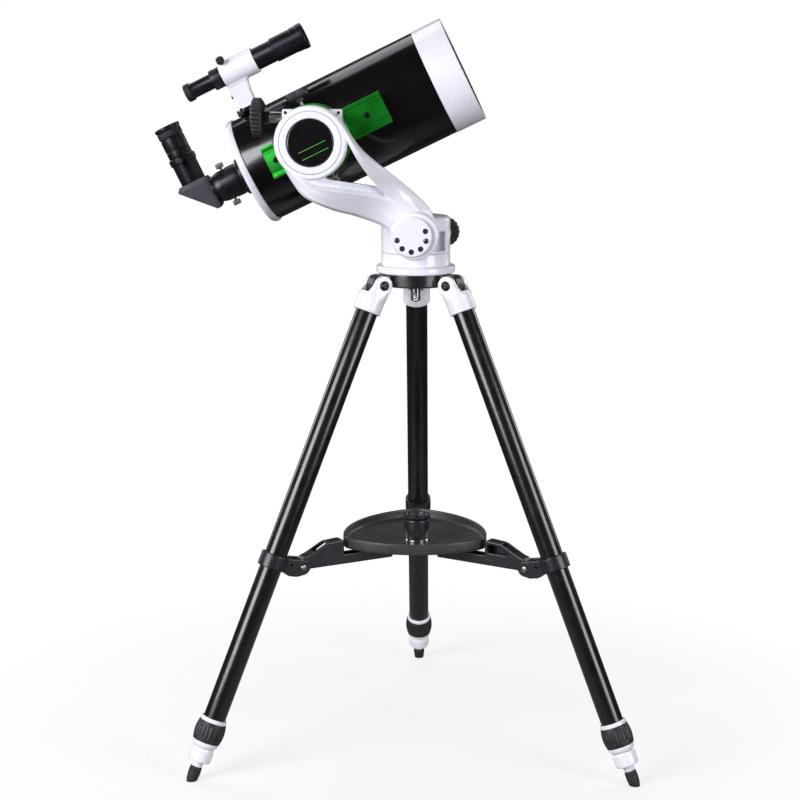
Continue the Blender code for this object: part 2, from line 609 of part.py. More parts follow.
def tube_piece(name, points, tube, finish, steps=36, ring=False, location=(0, 0, 0)):
    """A piece turned about the optical axis. Heights are axial places in millimetres."""
    return turned(name, [(r * MM, a * MM) for r, a in points], tube, finish, steps, ring, location, ALONG_X)


def optics(tube):
    outer, inner = TUBE_R / MM, TUBE_R / MM - 1.5
    front, rear = RING_REAR / MM - 0.3, TUBE_REAR / MM + 0.3
    tube_piece("optical_tube", [(outer, front), (outer, rear), (inner, rear), (inner, front)], tube, "gloss_black",
               36, True)
    tip = TUBE_FRONT / MM
    ring_rear = RING_REAR / MM
    tube_piece("front_ring", [(71.8, tip), (72.6, tip - 0.8), (72.6, ring_rear), (70.1, ring_rear), (70.1, 161),
                              (63.5, 161), (63.5, 186), (66.3, 186), (66.3, 200), (69.6, tip)],
               tube, "white_paint", 36, True)
    bend = [(i * 22.0, 6.0 * (i / 3) ** 2) for i in range(4)]
    front_face = [(r, 188.3 + sag) for r, sag in bend]
    back_face = [(r, 180.3 + sag) for r, sag in reversed(bend)]
    back_face[0] = (62.9, 186.3)
    tube_piece("corrector_lens", front_face + [(66.0, 186.3)] + back_face, tube, "lens_glass", 28)
    plate_in, rear = TUBE_REAR / MM - 3.3, CELL_REAR / MM
    tube_piece("rear_cell", [(70.1, -89), (70.1, -97.7), (73.3, -97.7), (74.0, -99.0), (74.0, -103.2), (71.6, rear),
                             (19.5, rear), (19.5, plate_in), (68, plate_in), (68, -89)], tube, "white_paint", 36,
               True)
    mirror_axis = empty("mirror_axis", tube)
    tube_piece("primary_mirror", [(66, -73), (66, -85), (20, -85), (20, -79)], mirror_axis, "mirror_coat", 28, True)

    knob_axis = empty("focus_knob_axis", tube, (0, 45 * MM, 0))
    tube_piece("focus_knob", [(0, -108), (4, -108), (4, -111), (12, -111), (12.5, -113), (12.5, -133), (11.5, -135),
                              (0, -135)], knob_axis, "satin_black", 18)


def visual_back(tube):
    bore = BARREL_R / MM + 0.3
    tube_piece("visual_back", [(27.2, -108.0), (27.2, -119), (26, -120.8), (19, -120.8), (19, -124.5), (bore, -124.5),
                               (bore, -108.0)], tube, "black_anodised", 24, True)
    ring = tube_piece("adapter_ring", [(21.8, -121.1), (21.8, -150), (20, -155.5), (18.6, -157.5), (bore, -157.5),
                                       (bore, -124.8), (19.3, -124.8), (19.3, -121.1)], tube, "black_anodised", 24,
                      True)
    for name, turn in (("upper", 0.0), ("lower", math.pi)):
        axis = empty(f"adapter_screw_axis_{name}", tube, (-141.5 * MM, 0, 0), (turn, 0, 0))
        cut(ring, cylinder(f"adapter_screw_hole_{name}", 2.2 * MM, 10 * MM, 30 * MM, axis, None, 10))
        profile = [(0, 30.5), (4.8, 30.5), (5.5, 29.5), (5.5, 23.5), (1.9, 23), (1.9, 17), (0, 17)]
        turned("adapter_screw_" + name, [(r * MM, z * MM) for r, z in profile], axis, "steel_grey", 14)


def diagonal(tube):
    """Right-angle prism housing, its nosepiece and its eyepiece socket."""
    outline = [(-206.3, 17.2), (-201.6, 23.4), (-163.8, 23.4), (-160.7, 17), (-160.7, -20.5), (-166.3, -24)]
    body = plate("diagonal", [(a * MM, n * MM) for a, n in outline], -18 * MM, 18 * MM, tube, "satin_black",
                 rotation=UPRIGHT)
    nose_profile = [(0, -127), (BARREL_R / MM, -127), (BARREL_R / MM, -157.8), (18.4, -157.8), (18.4, -162), (0, -162)]
    nose = tube_piece("diagonal_nose", nose_profile, tube, None, 20)
    at = (EYEPIECE_A, 0, 0)
    profile = [(0, 61), (18.7, 61), (18.7, 52.5), (17.1, 52), (17.1, 21), (0, 21)]
    socket = turned("diagonal_socket", [(r * MM, z * MM) for r, z in profile], tube, None, 22, False, at)
    join(body, nose, socket)
    cut(body, cylinder("socket_bore", BARREL_R + GAP, 33 * MM, 70 * MM, tube, None, 20, at))
    side_hole = cylinder("socket_screw_hole", 2.2 * MM, 10 * MM, 25 * MM, tube, None, 10,
                         (EYEPIECE_A, 0, 55.5 * MM), (math.pi / 2, 0, 0))
    cut(body, side_hole)

    screw_axis = empty("diagonal_screw_axis", tube, (EYEPIECE_A, 0, 55.5 * MM), (math.pi / 2, 0, 0))
    profile = [(0, 27), (4.1, 27), (4.7, 26.2), (4.7, 20.5), (1.9, 20), (1.9, 17), (0, 17)]
    turned("diagonal_screw", [(r * MM, z * MM) for r, z in profile], screw_axis, "satin_black", 14)

    axis = empty("eyepiece_axis", tube, at)
    profile = [(0, 103), (12, 103), (13, 105.3), (17.9, 105.3), (17.9, 101), (16.6, 100), (16.6, 61.3),
               (BARREL_R / MM, 61.3), (BARREL_R / MM, 35), (0, 35)]
    turned("eyepiece", [(r * MM, z * MM) for r, z in profile], axis, "black_anodised", 20)


def dovetail(tube):
    """The bar's section: wide face away from the tube, undercut sides, two long grooves."""
    w = DOVETAIL_HALF / MM
    half = [(-85, 14), (-83.6, 14), (-83.6, 16.5), (-85, 16.5), (-85, w), (-77, w - 3.4), (-72.7, w - 3.4)]
    outline = [(y, n) for y, n in half] + [(y, -n) for y, n in reversed(half)]
    plate("dovetail_bar", [(y * MM, n * MM) for y, n in outline], DOVETAIL_REAR, DOVETAIL_FRONT, tube,
          "green_anodised", rotation=ACROSS_X)


def finder(tube):
    shoe = box("finder_shoe", (-86 * MM, -15 * MM, 72.4 * MM), (-50 * MM, 15 * MM, 81 * MM), tube, "satin_black")
    cut(shoe, box("shoe_slot", (-90 * MM, -9 * MM, 76 * MM), (-40 * MM, 9 * MM, 90 * MM), tube))

    bracket = tube_piece("finder_bracket", [(17.2, -33.5), (17.2, -83.2), (15.6, -83.2), (15.6, -33.5)], tube,
                         "white_paint", 22, True, (0, 0, FINDER_N))
    stem = [[(a * MM, y * MM, n * MM) for a, y in ((-83, -t), (-56.3, -t), (-56.3, t), (-83, t))]
            for n, t in ((76.3, 8.6), (82, 8.6), (84, 7), (116.4, 7))]
    join(bracket, loft("finder_stem", stem, tube))

    axis = empty("finder_axis", tube, (FINDER_MID, 0, FINDER_N))
    lens = [(0, 31), (15.2, 31), (15.2, 41), (17.6, 41), (17.6, 33), (16.4, 32.4), (16.4, -6), (14.6, -6.6),
            (14.6, -85.2), (13.3, -85.6), (13.3, -98.5), (10.2, -99.2), (10.2, -128.6), (11.9, -129.4), (11.9, -139.4),
            (0, -139.4)]
    shift = FINDER_MID / MM
    scope = turned("finder_tube", [(r * MM, (a - shift) * MM) for r, a in lens], axis, "satin_black", 20, False,
                   (0, 0, 0), ALONG_X)
    lean_forward = math.radians(40)
    screw_axis = empty("finder_screw_axis", tube, (-75 * MM, 0, FINDER_N), (lean_forward, 0, 0))
    profile = [(0, 28), (4.8, 28), (5.6, 27), (5.6, 21), (1.8, 20.4), (1.8, 15.2), (0, 15.2)]
    turned("finder_screw", [(r * MM, z * MM) for r, z in profile], screw_axis, "satin_black", 14)
    cut(bracket, cylinder("finder_screw_hole", 2.1 * MM, 12 * MM, 24 * MM, screw_axis, None, 10))
    return scope


def shade_parts():
    for obj in PARTS.objects:
        if obj.type == "MESH":
            smooth(obj.data)


def main():
    clear_scene()
    make_collections()
    stand = empty("stand", None, (STAND_X, STAND_Y, 0))
    planes = {}
    for side, turn in LEG_SIDES.items():
        planes[side] = empty("leg_plane_" + side, stand, (0, 0, 0), (0, 0, math.radians(turn) + LEG_YAW))
    tripod_hub(stand, planes)
    centre_bolt(stand)
    for side, plane in planes.items():
        frame = empty("leg_hinge_" + side, plane, (HINGE_R, 0, HINGE_Z), (0, -LEG_TILT, 0))
        leg(side, frame)
        spreader_arm(side, frame)
    tray(stand)
    mount_base(stand)

    head = empty("azimuth_axis", stand, (0, 0, 0), (0, 0, HEAD_YAW))
    azimuth_head(head)
    arm(head)
    pivot_disc(head)
    altitude_head(head)
    axis = empty("altitude_axis", head, (ALT_X, 0, ALT_Z), (0, -TUBE_ELEVATION, 0))
    saddle(axis)
    tube = empty("optical_axis", axis, (0, TUBE_Y, 0))
    optics(tube)
    visual_back(tube)
    diagonal(tube)
    dovetail(tube)
    finder(tube)
    shade_parts()
    bpy.context.view_layer.update()


main()
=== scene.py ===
"""The looks of a 127 mm Maksutov telescope on its one-armed mount and folding tripod.

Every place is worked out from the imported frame: the joints give the axes of the legs, the head, the altitude
bearing and the tube, and each piece is drawn in millimetres in the local place of what it belongs to.
"""

import json
import math

import bmesh
import bpy
from mathutils import Matrix, Vector


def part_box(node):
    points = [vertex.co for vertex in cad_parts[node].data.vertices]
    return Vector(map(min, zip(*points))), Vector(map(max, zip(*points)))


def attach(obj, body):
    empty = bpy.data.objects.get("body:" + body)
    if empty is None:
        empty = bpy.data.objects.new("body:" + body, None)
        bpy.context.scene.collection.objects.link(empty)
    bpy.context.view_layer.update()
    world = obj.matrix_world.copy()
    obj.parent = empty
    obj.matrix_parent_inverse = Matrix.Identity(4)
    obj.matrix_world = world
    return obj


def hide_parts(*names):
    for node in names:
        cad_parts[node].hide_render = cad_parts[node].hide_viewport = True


MM = 0.001
SIDES = ("rear", "left", "right")
TURN = 2 * math.pi

# Tripod, in millimetres along and across a leg.
LEG_AXIS_X = 2.0
LEG_TUBE_R = 15.0
LEG_BORE = 15.3
LOCK_TOP = -618.9
LEG_TUBE_END = -644.9
FOOT_TOP = -660.1
CLAMP_Z = -395.6
SPREAD_X = -38.2
SPREAD_Z = -390.9
LUG_HALF = 10.0
EAR_IN = 10.4
EAR_OUT = 18.0

# Tray.
TRAY_Z = 289.8
TRAY_TOP = 305.2
TRAY_CORNER = 84.0
TRAY_CORNER_R = 25.0
TRAY_SIDE = 91.0

# Hub, base and head.
HUB_LOW, HUB_HIGH = 644.7, 662.5
HINGE_Z = 648.5
LEG_SPLAY = 23.46
SEAM_Z = 690.0
HEAD_TOP = 738.5
DRUM_R = 46.5

# Arm and altitude bearing, in the head's place.
PIVOT_X, PIVOT_Z = -1.5, 717.5
ALT_X, ALT_Z = -128.0, 841.0
HUB_FRONT, HUB_BACK = -80.0, -52.5
RING_FRONT, RING_BACK = -137.0, -110.3
RING_R = 47.0
CAP_R = 39.7
BADGE_R = 30.0
TILT_HOLES = [193.0 + 38.0 * i for i in range(6)]
TILT_BOLTS = (0, 4)
TILT_RING_R = 19.5

# Telescope, along (a) and above (n) the optical axis.
TUBE_Y = 12.0
TUBE_R = 72.0
EYEPIECE_A = -182.5
BARREL_R = 15.85
FINDER_N = 131.6
FINDER_SCREW_LEAN = 40.0

# Studio, in metres and watts: each light is (name, size, power, colour, place from the middle of the telescope).
ROOM_LIGHT = 0.04
FLOOR_SOLID, FLOOR_GONE = 0.30, 0.75
FLOOR_CLEAR = 0.68
COOL, WARM = (0.93, 0.93, 1.0), (1.0, 0.97, 0.95)
LIGHTS = (
    ("key", (1.8, 2.0), 138, COOL, (-2.3, -2.1, 0.75)),
    ("fill", (1.5, 2.0), 82, COOL, (2.6, -2.0, 0.55)),
    ("top", (2.6, 1.6), 26, COOL, (-0.3, 1.6, 2.3)),
    ("rear_left", (1.2, 1.8), 24, COOL, (-2.5, 2.0, 0.8)),
    ("rear_right", (1.2, 1.8), 24, WARM, (2.5, 2.0, 0.8)),
)

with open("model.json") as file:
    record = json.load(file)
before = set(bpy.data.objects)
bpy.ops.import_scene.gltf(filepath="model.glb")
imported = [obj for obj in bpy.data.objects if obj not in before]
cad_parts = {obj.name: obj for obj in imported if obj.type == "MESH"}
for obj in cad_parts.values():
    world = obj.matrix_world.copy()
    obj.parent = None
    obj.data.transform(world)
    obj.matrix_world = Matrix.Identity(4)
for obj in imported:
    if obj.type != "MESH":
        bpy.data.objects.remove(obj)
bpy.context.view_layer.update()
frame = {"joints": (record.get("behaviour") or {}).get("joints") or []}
JOINTS = {joint["name"]: joint for joint in frame["joints"]}


# ---------------------------------------------------------------- places


def axis_of(name):
    """The direction of a joint's axis in the frame."""
    return Vector(JOINTS[name]["axis"]).normalized()


def point_of(name):
    """The place of a joint in the frame, in metres."""
    return Vector(JOINTS[name]["pos_m"])


def place_from(origin, x, z):
    """A place with its local Z along z, and its local X as near x as that allows."""
    z = z.normalized()
    y = z.cross(x).normalized()
    place = Matrix((y.cross(z), y, z)).transposed().to_4x4()
    place.translation = origin
    return place


QUARTER = math.pi / 2
ALONG = {
    "Z": Matrix.Identity(4),
    "-Z": Matrix.Rotation(math.pi, 4, "X"),
    "X": Matrix.Rotation(QUARTER, 4, "Y"),
    "-X": Matrix.Rotation(-QUARTER, 4, "Y"),
    "Y": Matrix.Rotation(-QUARTER, 4, "X"),
    "-Y": Matrix.Rotation(QUARTER, 4, "X"),
    # A flat outline drawn in YZ, with its thickness along +X.
    "YZ": Matrix(((0, 0, 1, 0), (1, 0, 0, 0), (0, 1, 0, 0), (0, 0, 0, 1))),
}


def at(place, x=0.0, y=0.0, z=0.0, along="Z"):
    """The place moved by millimetres, with its Z laid along one of its axes."""
    return place @ Matrix.Translation(Vector((x, y, z)) * MM) @ ALONG[along]


def turned_by(place, degrees, axis="Z"):
    return place @ Matrix.Rotation(math.radians(degrees), 4, axis)


UP = Vector((0, 0, 1))
STAND = Matrix.Translation((point_of("azimuth_turn").x, point_of("azimuth_turn").y, 0))
HEAD = place_from(STAND.translation, axis_of("altitude_knob_turn"), UP)
SADDLE = place_from(HEAD @ (Vector((ALT_X, 0, ALT_Z)) * MM), axis_of("tube_slide"), axis_of("saddle_knob_turn"))
TUBE = at(SADDLE, 0, TUBE_Y, 0)
LEGS = {}
for side in SIDES:
    up_leg = axis_of(f"twist_lock_{side}_turn")
    LEGS[side] = place_from(point_of(f"leg_{side}_fold"), axis_of(f"leg_{side}_fold").cross(up_leg), up_leg)


# ---------------------------------------------------------------- shapes


def new_object(name, mesh, place):
    obj = bpy.data.objects.new(name, mesh)
    bpy.context.scene.collection.objects.link(obj)
    obj.matrix_world = place
    return obj


def from_cage(name, cage, place):
    bmesh.ops.recalc_face_normals(cage, faces=cage.faces)
    mesh = bpy.data.meshes.new(name)
    cage.to_mesh(mesh)
    cage.free()
    return new_object(name, mesh, place)


def rounded(points, closed, steps=4):
    """Replaces each corner that states a radius, (x, y, radius), by an arc of that radius."""
    made = []
    count = len(points)
    for i, point in enumerate(points):
        here = Vector(point[:2])
        radius = point[2] if len(point) > 2 else 0
        ends = not closed and i in (0, count - 1)
        if radius <= 0 or ends:
            made.append(here)
            continue
        back = Vector(points[i - 1][:2]) - here
        ahead = Vector(points[(i + 1) % count][:2]) - here
        angle = back.angle(ahead)
        if angle > math.radians(176):
            made.append(here)
            continue
        reach = radius / math.tan(angle / 2)
        limit = 0.49 * min(back.length, ahead.length)
        if reach > limit:
            radius *= limit / reach
            reach = limit
        first = here + back.normalized() * reach
        last = here + ahead.normalized() * reach
        centre = here + (back.normalized() + ahead.normalized()).normalized() * (radius / math.sin(angle / 2))
        sweep = (first - centre).angle_signed(last - centre)
        for k in range(steps + 1):
            spoke = (first - centre).copy()
            spoke.rotate(Matrix.Rotation(-sweep * k / steps, 2))
            made.append(centre + spoke)
    return made


def arc(centre, radius, first, last, steps):
    """Points on a circle from one angle to another, in degrees."""
    turns = [math.radians(first + (last - first) * i / steps) for i in range(steps + 1)]
    return [(centre[0] + radius * math.cos(t), centre[1] + radius * math.sin(t)) for t in turns]


def turned(name, profile, place, segments=72, ribs=None):
    """Turns (radius, height, corner radius) points about local Z. A profile off the axis closes on itself.

    ribs is (count, depth, low, high): grooves pressed into the outer side between two heights.
    """
    closed = profile[0][0] > 0 or profile[-1][0] > 0
    points = rounded(profile, closed)
    cage = bmesh.new()
    rings = []
    widest = max(p.x for p in points)
    for point in points:
        if point.x < 1e-6:
            rings.append([cage.verts.new((0, 0, point.y * MM))] * segments)
            continue
        ring = []
        for i in range(segments):
            turn = TURN * i / segments
            radius = point.x
            if ribs:
                count, depth, low, high = ribs
                if low <= point.y <= high and radius > widest - 2.5 * depth - 2:
                    wave = 0.5 - 0.5 * math.cos(count * turn)
                    radius -= depth * wave**3
            ring.append(cage.verts.new((radius * MM * math.cos(turn), radius * MM * math.sin(turn), point.y * MM)))
        rings.append(ring)
    pairs = list(zip(rings, rings[1:]))
    if closed:
        pairs.append((rings[-1], rings[0]))
    for one, two in pairs:
        for i in range(segments):
            j = (i + 1) % segments
            corners = list(dict.fromkeys((one[i], one[j], two[j], two[i])))
            if len(corners) > 2:
                cage.faces.new(corners)
    return from_cage(name, cage, place)


def rod(name, radius, low, high, place, edge=0.4, segments=48):
    """A round bar with softened ends, for pieces that are joined or cut."""
    edge = min(edge, radius * 0.4, (high - low) * 0.4)
    return turned(name, [(0, high), (radius, high, edge), (radius, low, edge), (0, low)], place, segments)


def block(name, low, high, place):
    """A plain box, used only as a tool to join or cut with."""
    cage = bmesh.new()
    bmesh.ops.create_cube(cage, size=1.0)
    low, high = Vector(low) * MM, Vector(high) * MM
    bmesh.ops.scale(cage, vec=high - low, verts=cage.verts)
    bmesh.ops.translate(cage, vec=(low + high) / 2, verts=cage.verts)
    return from_cage(name, cage, place)


def loft(name, sections, place):
    """Joins loops of (x, y, z) points in millimetres with quads, and closes both ends."""
    cage = bmesh.new()
    loops = [[cage.verts.new(Vector(p) * MM) for p in section] for section in sections]
    count = len(loops[0])
    for one, two in zip(loops, loops[1:]):
        for i in range(count):
            j = (i + 1) % count
            cage.faces.new((one[i], one[j], two[j], two[i]))
    cage.faces.new(loops[0])
    cage.faces.new(loops[-1])
    bmesh.ops.triangulate(cage, faces=[f for f in cage.faces if len(f.verts) > 4])
    return from_cage(name, cage, place)


def slab(name, outline, low, high, place, edge=0.6):
    """A flat outline of (x, y, corner radius) with softened edges, filling local Z from low to high."""
    points = rounded(outline, True)
    area = sum(a.x * b.y - b.x * a.y for a, b in zip(points, points[1:] + points[:1]))
    if area < 0:
        points.reverse()
    edge = min(edge, (high - low) * 0.45)
    steps = 3
    levels = []
    for i in range(steps + 1):
        turn = QUARTER * i / steps
        levels.append((edge * (1 - math.sin(turn)), low + edge * (1 - math.cos(turn))))
    levels += [(inset, low + high - z) for inset, z in reversed(levels)]
    sections = []
    count = len(points)
    for inset, z in levels:
        loop = []
        for i, here in enumerate(points):
            one = (here - points[i - 1]).normalized()
            two = (points[(i + 1) % count] - here).normalized()
            bisector = Vector((-(one + two).y, (one + two).x)).normalized()
            stretch = max(0.5, bisector.dot(Vector((-one.y, one.x))))
            loop.append((*(here + bisector * inset / stretch), z))
        sections.append(loop)
    return loft(name, sections, place)


def settle(obj):
    """Applies the modifiers, so that the mesh stands by itself."""
    bpy.context.view_layer.update()
    graph = bpy.context.evaluated_depsgraph_get()
    made = bpy.data.meshes.new_from_object(obj.evaluated_get(graph))
    obj.modifiers.clear()
    obj.data = made
    return obj


def combine(obj, tools, operation):
    for tool in tools:
        modifier = obj.modifiers.new(tool.name, "BOOLEAN")
        modifier.operation = operation
        modifier.solver = "EXACT"
        modifier.object = tool
    settle(obj)
    for tool in tools:
        bpy.data.objects.remove(tool, do_unlink=True)
    return obj


def join(obj, *tools):
    return combine(obj, tools, "UNION")


def cut(obj, *tools):
    return combine(obj, tools, "DIFFERENCE")


def fuse(obj, *others):
    """Lays other closed shapes into the same mesh. cast() then makes one skin of them."""
    cage = bmesh.new()
    cage.from_mesh(obj.data)
    for other in others:
        other.data.transform(obj.matrix_world.inverted() @ other.matrix_world)
        cage.from_mesh(other.data)
        bpy.data.objects.remove(other, do_unlink=True)
    cage.to_mesh(obj.data)
    cage.free()
    return obj


def cast(obj, voxel=0.7, passes=4):
    """Gives a joined shape the soft edges and blended corners of a casting or a moulding."""
    remesh = obj.modifiers.new("skin", "REMESH")
    remesh.mode = "VOXEL"
    remesh.voxel_size = voxel * MM
    soften = obj.modifiers.new("soften", "SMOOTH")
    soften.factor = 0.5
    soften.iterations = passes
    return settle(obj)


# ---------------------------------------------------------------- materials


class Nodes:
    """A short way to write a material's node tree."""

    def __init__(self, name):
        self.material = bpy.data.materials.new(name)
        self.material.use_nodes = True
        self.tree = self.material.node_tree
        self.shader = self.tree.nodes["Principled BSDF"]
        self.coordinates = self.tree.nodes.new("ShaderNodeTexCoord").outputs["Object"]

    def add(self, kind, **values):
        node = self.tree.nodes.new("ShaderNode" + kind)
        for key, value in values.items():
            setattr(node, key, value)
        return node

    def link(self, source, target):
        self.tree.links.new(source, target)

    def stretched(self, scale):
        """Object coordinates scaled by a vector, for grain that runs one way."""
        mapping = self.add("Mapping")
        mapping.inputs["Scale"].default_value = scale
        self.link(self.coordinates, mapping.inputs["Vector"])
        return mapping.outputs["Vector"]

    def noise(self, scale, detail=3.0, roughness=0.5, vector=None):
        node = self.add("TexNoise")
        node.inputs["Scale"].default_value = scale
        node.inputs["Detail"].default_value = detail
        node.inputs["Roughness"].default_value = roughness
        self.link(vector or self.coordinates, node.inputs["Vector"])
        return node.outputs["Fac"]

    def between(self, source, low, high, from_low=0.3, from_high=0.7):
        node = self.add("MapRange")
        node.inputs["From Min"].default_value = from_low
        node.inputs["From Max"].default_value = from_high
        node.inputs["To Min"].default_value = low
        node.inputs["To Max"].default_value = high
        self.link(source, node.inputs["Value"])
        return node.outputs["Result"]

    def ramp(self, source, low, high, from_low=0.35, from_high=0.65):
        node = self.add("ValToRGB")
        node.color_ramp.elements[0].position = from_low
        node.color_ramp.elements[1].position = from_high
        node.color_ramp.elements[0].color = (*low, 1)
        node.color_ramp.elements[1].color = (*high, 1)
        self.link(source, node.inputs["Fac"])
        self.link(node.outputs["Color"], self.shader.inputs["Base Color"])

    def bump(self, source, strength, depth, below=None):
        node = self.add("Bump")
        node.inputs["Strength"].default_value = strength
        node.inputs["Distance"].default_value = depth * MM
        self.link(source, node.inputs["Height"])
        if below:
            self.link(below, node.inputs["Normal"])
        self.link(node.outputs["Normal"], self.shader.inputs["Normal"])
        return node.outputs["Normal"]

    def rough(self, source, low, high):
        self.link(self.between(source, low, high), self.shader.inputs["Roughness"])

    def put(self, **values):
        for key, value in values.items():
            self.shader.inputs[key.replace("_", " ")].default_value = value


def painted(name, dark, light, roughness, coat=0.5, peel=0.06):
    """Sprayed enamel: slow colour drift, orange peel and a clear gloss."""
    n = Nodes(name)
    n.ramp(n.noise(22, 4), dark, light)
    n.rough(n.noise(60, 5), roughness * 0.8, roughness * 1.25)
    fine = n.bump(n.noise(420, 2), peel, 0.4)
    n.bump(n.noise(2600, 2), peel * 0.6, 0.1, fine)
    n.put(Coat_Weight=coat, Coat_Roughness=0.06)
    return n.material


def moulded(name, dark, light, roughness, grain=1500, depth=0.25):
    """Moulded plastic or rubber with a fine eroded grain."""
    n = Nodes(name)
    n.ramp(n.noise(70, 5), dark, light)
    n.rough(n.noise(900, 3), roughness * 0.85, roughness * 1.2)
    coarse = n.bump(n.noise(grain, 4, 0.6), 0.22, depth)
    n.bump(n.noise(grain * 0.12, 2), 0.08, depth * 2, coarse)
    return n.material


def metal(name, dark, light, roughness, metallic=1.0, brushed=(1, 1, 1), scratch=0.05):
    """Bare or anodised metal with fine tool marks that run one way."""
    n = Nodes(name)
    n.put(Metallic=metallic)
    marks = n.noise(900, 4, 0.6, n.stretched(brushed))
    n.ramp(n.noise(45, 4), dark, light)
    n.rough(marks, roughness * 0.75, roughness * 1.35)
    n.bump(marks, scratch, 0.12)
    return n.material


def glass(name, tint, roughness=0.0):
    """Coated lens glass. The faint drift in roughness is the film of dust that any front lens carries."""
    n = Nodes(name)
    n.put(Base_Color=(*tint, 1), IOR=1.517, Transmission_Weight=1.0)
    n.rough(n.noise(140, 5), roughness, roughness + 0.035)
    return n.material


def coated_lens(name, colour):
    """A small lens seen against the dark inside of its tube: deep, glossy and tinted by its coating."""
    n = Nodes(name)
    n.ramp(n.noise(30, 2), tuple(c * 0.6 for c in colour), colour)
    n.rough(n.noise(200, 3), 0.01, 0.04)
    n.put(Coat_Weight=1.0, Coat_Roughness=0.01, Specular_IOR_Level=0.9)
    return n.material


def make_materials():
    made = {
        "white": painted("white_enamel", (0.755, 0.760, 0.800), (0.800, 0.803, 0.840), 0.30, 0.35),
        "tube_black": painted("black_enamel", (0.0030, 0.0022, 0.0024), (0.0050, 0.0038, 0.0040), 0.16, 0.12, 0.03),
        "leg_black": painted("leg_enamel", (0.0048, 0.0040, 0.0044), (0.0080, 0.0066, 0.0072), 0.25, 0.20, 0.03),
        "satin_black": painted("satin_enamel", (0.0065, 0.0055, 0.0060), (0.0120, 0.0100, 0.0110), 0.34, 0.10, 0.10),
        "tray_black": painted("tray_enamel", (0.030, 0.0255, 0.0275), (0.044, 0.0375, 0.040), 0.46, 0.04, 0.12),
        "prism_grey": painted("prism_enamel", (0.030, 0.028, 0.036), (0.040, 0.0375, 0.048), 0.50, 0.05, 0.16),
        "plastic": moulded("black_moulding", (0.008, 0.0074, 0.0095), (0.015, 0.0138, 0.0175), 0.34),
        "grip": moulded("grip_moulding", (0.010, 0.009, 0.011), (0.017, 0.015, 0.018), 0.50, 1900, 0.35),
        "rubber": moulded("rubber", (0.008, 0.006, 0.0075), (0.015, 0.012, 0.014), 0.68, 1200, 0.5),
        "flocked": moulded("tube_lining", (0.004, 0.004, 0.004), (0.008, 0.008, 0.008), 0.95, 2500, 0.4),
        "gloss": painted("badge_gloss", (0.0042, 0.0038, 0.0045), (0.0065, 0.0060, 0.0070), 0.05, 0.3, 0.01),
        "anodised": metal("black_anodised", (0.010, 0.010, 0.013), (0.020, 0.020, 0.026), 0.30, 0.55, (1, 1, 12)),
        "green": metal("green_anodised", (0.008, 0.25, 0.015), (0.014, 0.36, 0.026), 0.34, 0.75, (1, 14, 14)),
        "green_line": painted("green_print", (0.05, 0.42, 0.04), (0.07, 0.52, 0.06), 0.35, 0.1, 0.05),
        "chrome": metal("bright_chrome", (0.60, 0.60, 0.63), (0.72, 0.72, 0.75), 0.13, 1.0, (1, 1, 8), 0.03),
        "steel": metal("screw_steel", (0.30, 0.29, 0.29), (0.42, 0.41, 0.41), 0.28, 1.0, (6, 6, 1)),
        "black_steel": metal("black_steel", (0.014, 0.013, 0.014), (0.030, 0.028, 0.030), 0.34, 0.75, (4, 4, 1)),
        "mirror": metal("mirror_coat", (0.86, 0.86, 0.87), (0.90, 0.90, 0.91), 0.02, 1.0, (1, 1, 1), 0.0),
        "glass": glass("lens_glass", (0.93, 0.98, 0.95)),
        "lens_violet": coated_lens("lens_violet", (0.020, 0.010, 0.040)),
        "lens_green": coated_lens("lens_green", (0.008, 0.030, 0.020)),
    }
    return made


MATERIALS = make_materials()


def wear(obj, finish, body, *nodes, crease=32):
    """Gives a piece its material and its body, and hides the CAD nodes it stands for."""
    obj.data.materials.clear()
    obj.data.materials.append(MATERIALS[finish])
    obj.data.shade_smooth()
    obj.data.set_sharp_from_angle(angle=math.radians(crease))
    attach(obj, body)
    if nodes:
        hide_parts(*nodes)
    return obj


# ---------------------------------------------------------------- fasteners


def cap_screw(name, place, head_r, head_h, shank_r, shank, body, finish, *nodes):
    """A socket-head screw: its head rises along Z from the surface it clamps, and its shank goes below."""
    profile = [(0, head_h), (head_r, head_h, 0.12 * head_r), (head_r, 0, 0.1), (shank_r, 0), (shank_r, -shank, 0.3),
               (0, -shank)]
    screw = turned(name, profile, place, 40)
    socket = turned(name + "_socket", [(0, head_h + 1), (0.52 * head_r, head_h + 1), (0.52 * head_r, 0.4 * head_h),
                                       (0, 0.4 * head_h)], place, 6)
    cut(screw, socket)
    return wear(screw, finish, body, *nodes)


def cross_screw(name, place, head_r, body, finish):
    """A pan-head screw with a cross recess, its head standing on local Z = 0."""
    head = turned(name, [(0, 0.55 * head_r), (0.55 * head_r, 0.5 * head_r, 0.4 * head_r), (head_r, 0, 0.1),
                         (0.5 * head_r, -1), (0, -1)], place, 32)
    bar = 0.12 * head_r
    cut(head,
        block(name + "_a", (-0.6 * head_r, -bar, 0.15 * head_r), (0.6 * head_r, bar, head_r), place),
        block(name + "_b", (-bar, -0.6 * head_r, 0.15 * head_r), (bar, 0.6 * head_r, head_r), place))
    return wear(head, finish, body)


# ---------------------------------------------------------------- tripod


def leg_section(half_x, half_y, corner, z, centre_x=0.0, steps=8):
    """A rounded rectangle as a loop at one height."""
    loop = []
    for quadrant in range(4):
        cx = (half_x - corner) * (1 if quadrant in (0, 3) else -1)
        cy = (half_y - corner) * (1 if quadrant in (0, 1) else -1)
        for x, y in arc((cx, cy), corner, 90 * quadrant, 90 * quadrant + 90, steps):
            loop.append((x + centre_x, y, z))
    return loop


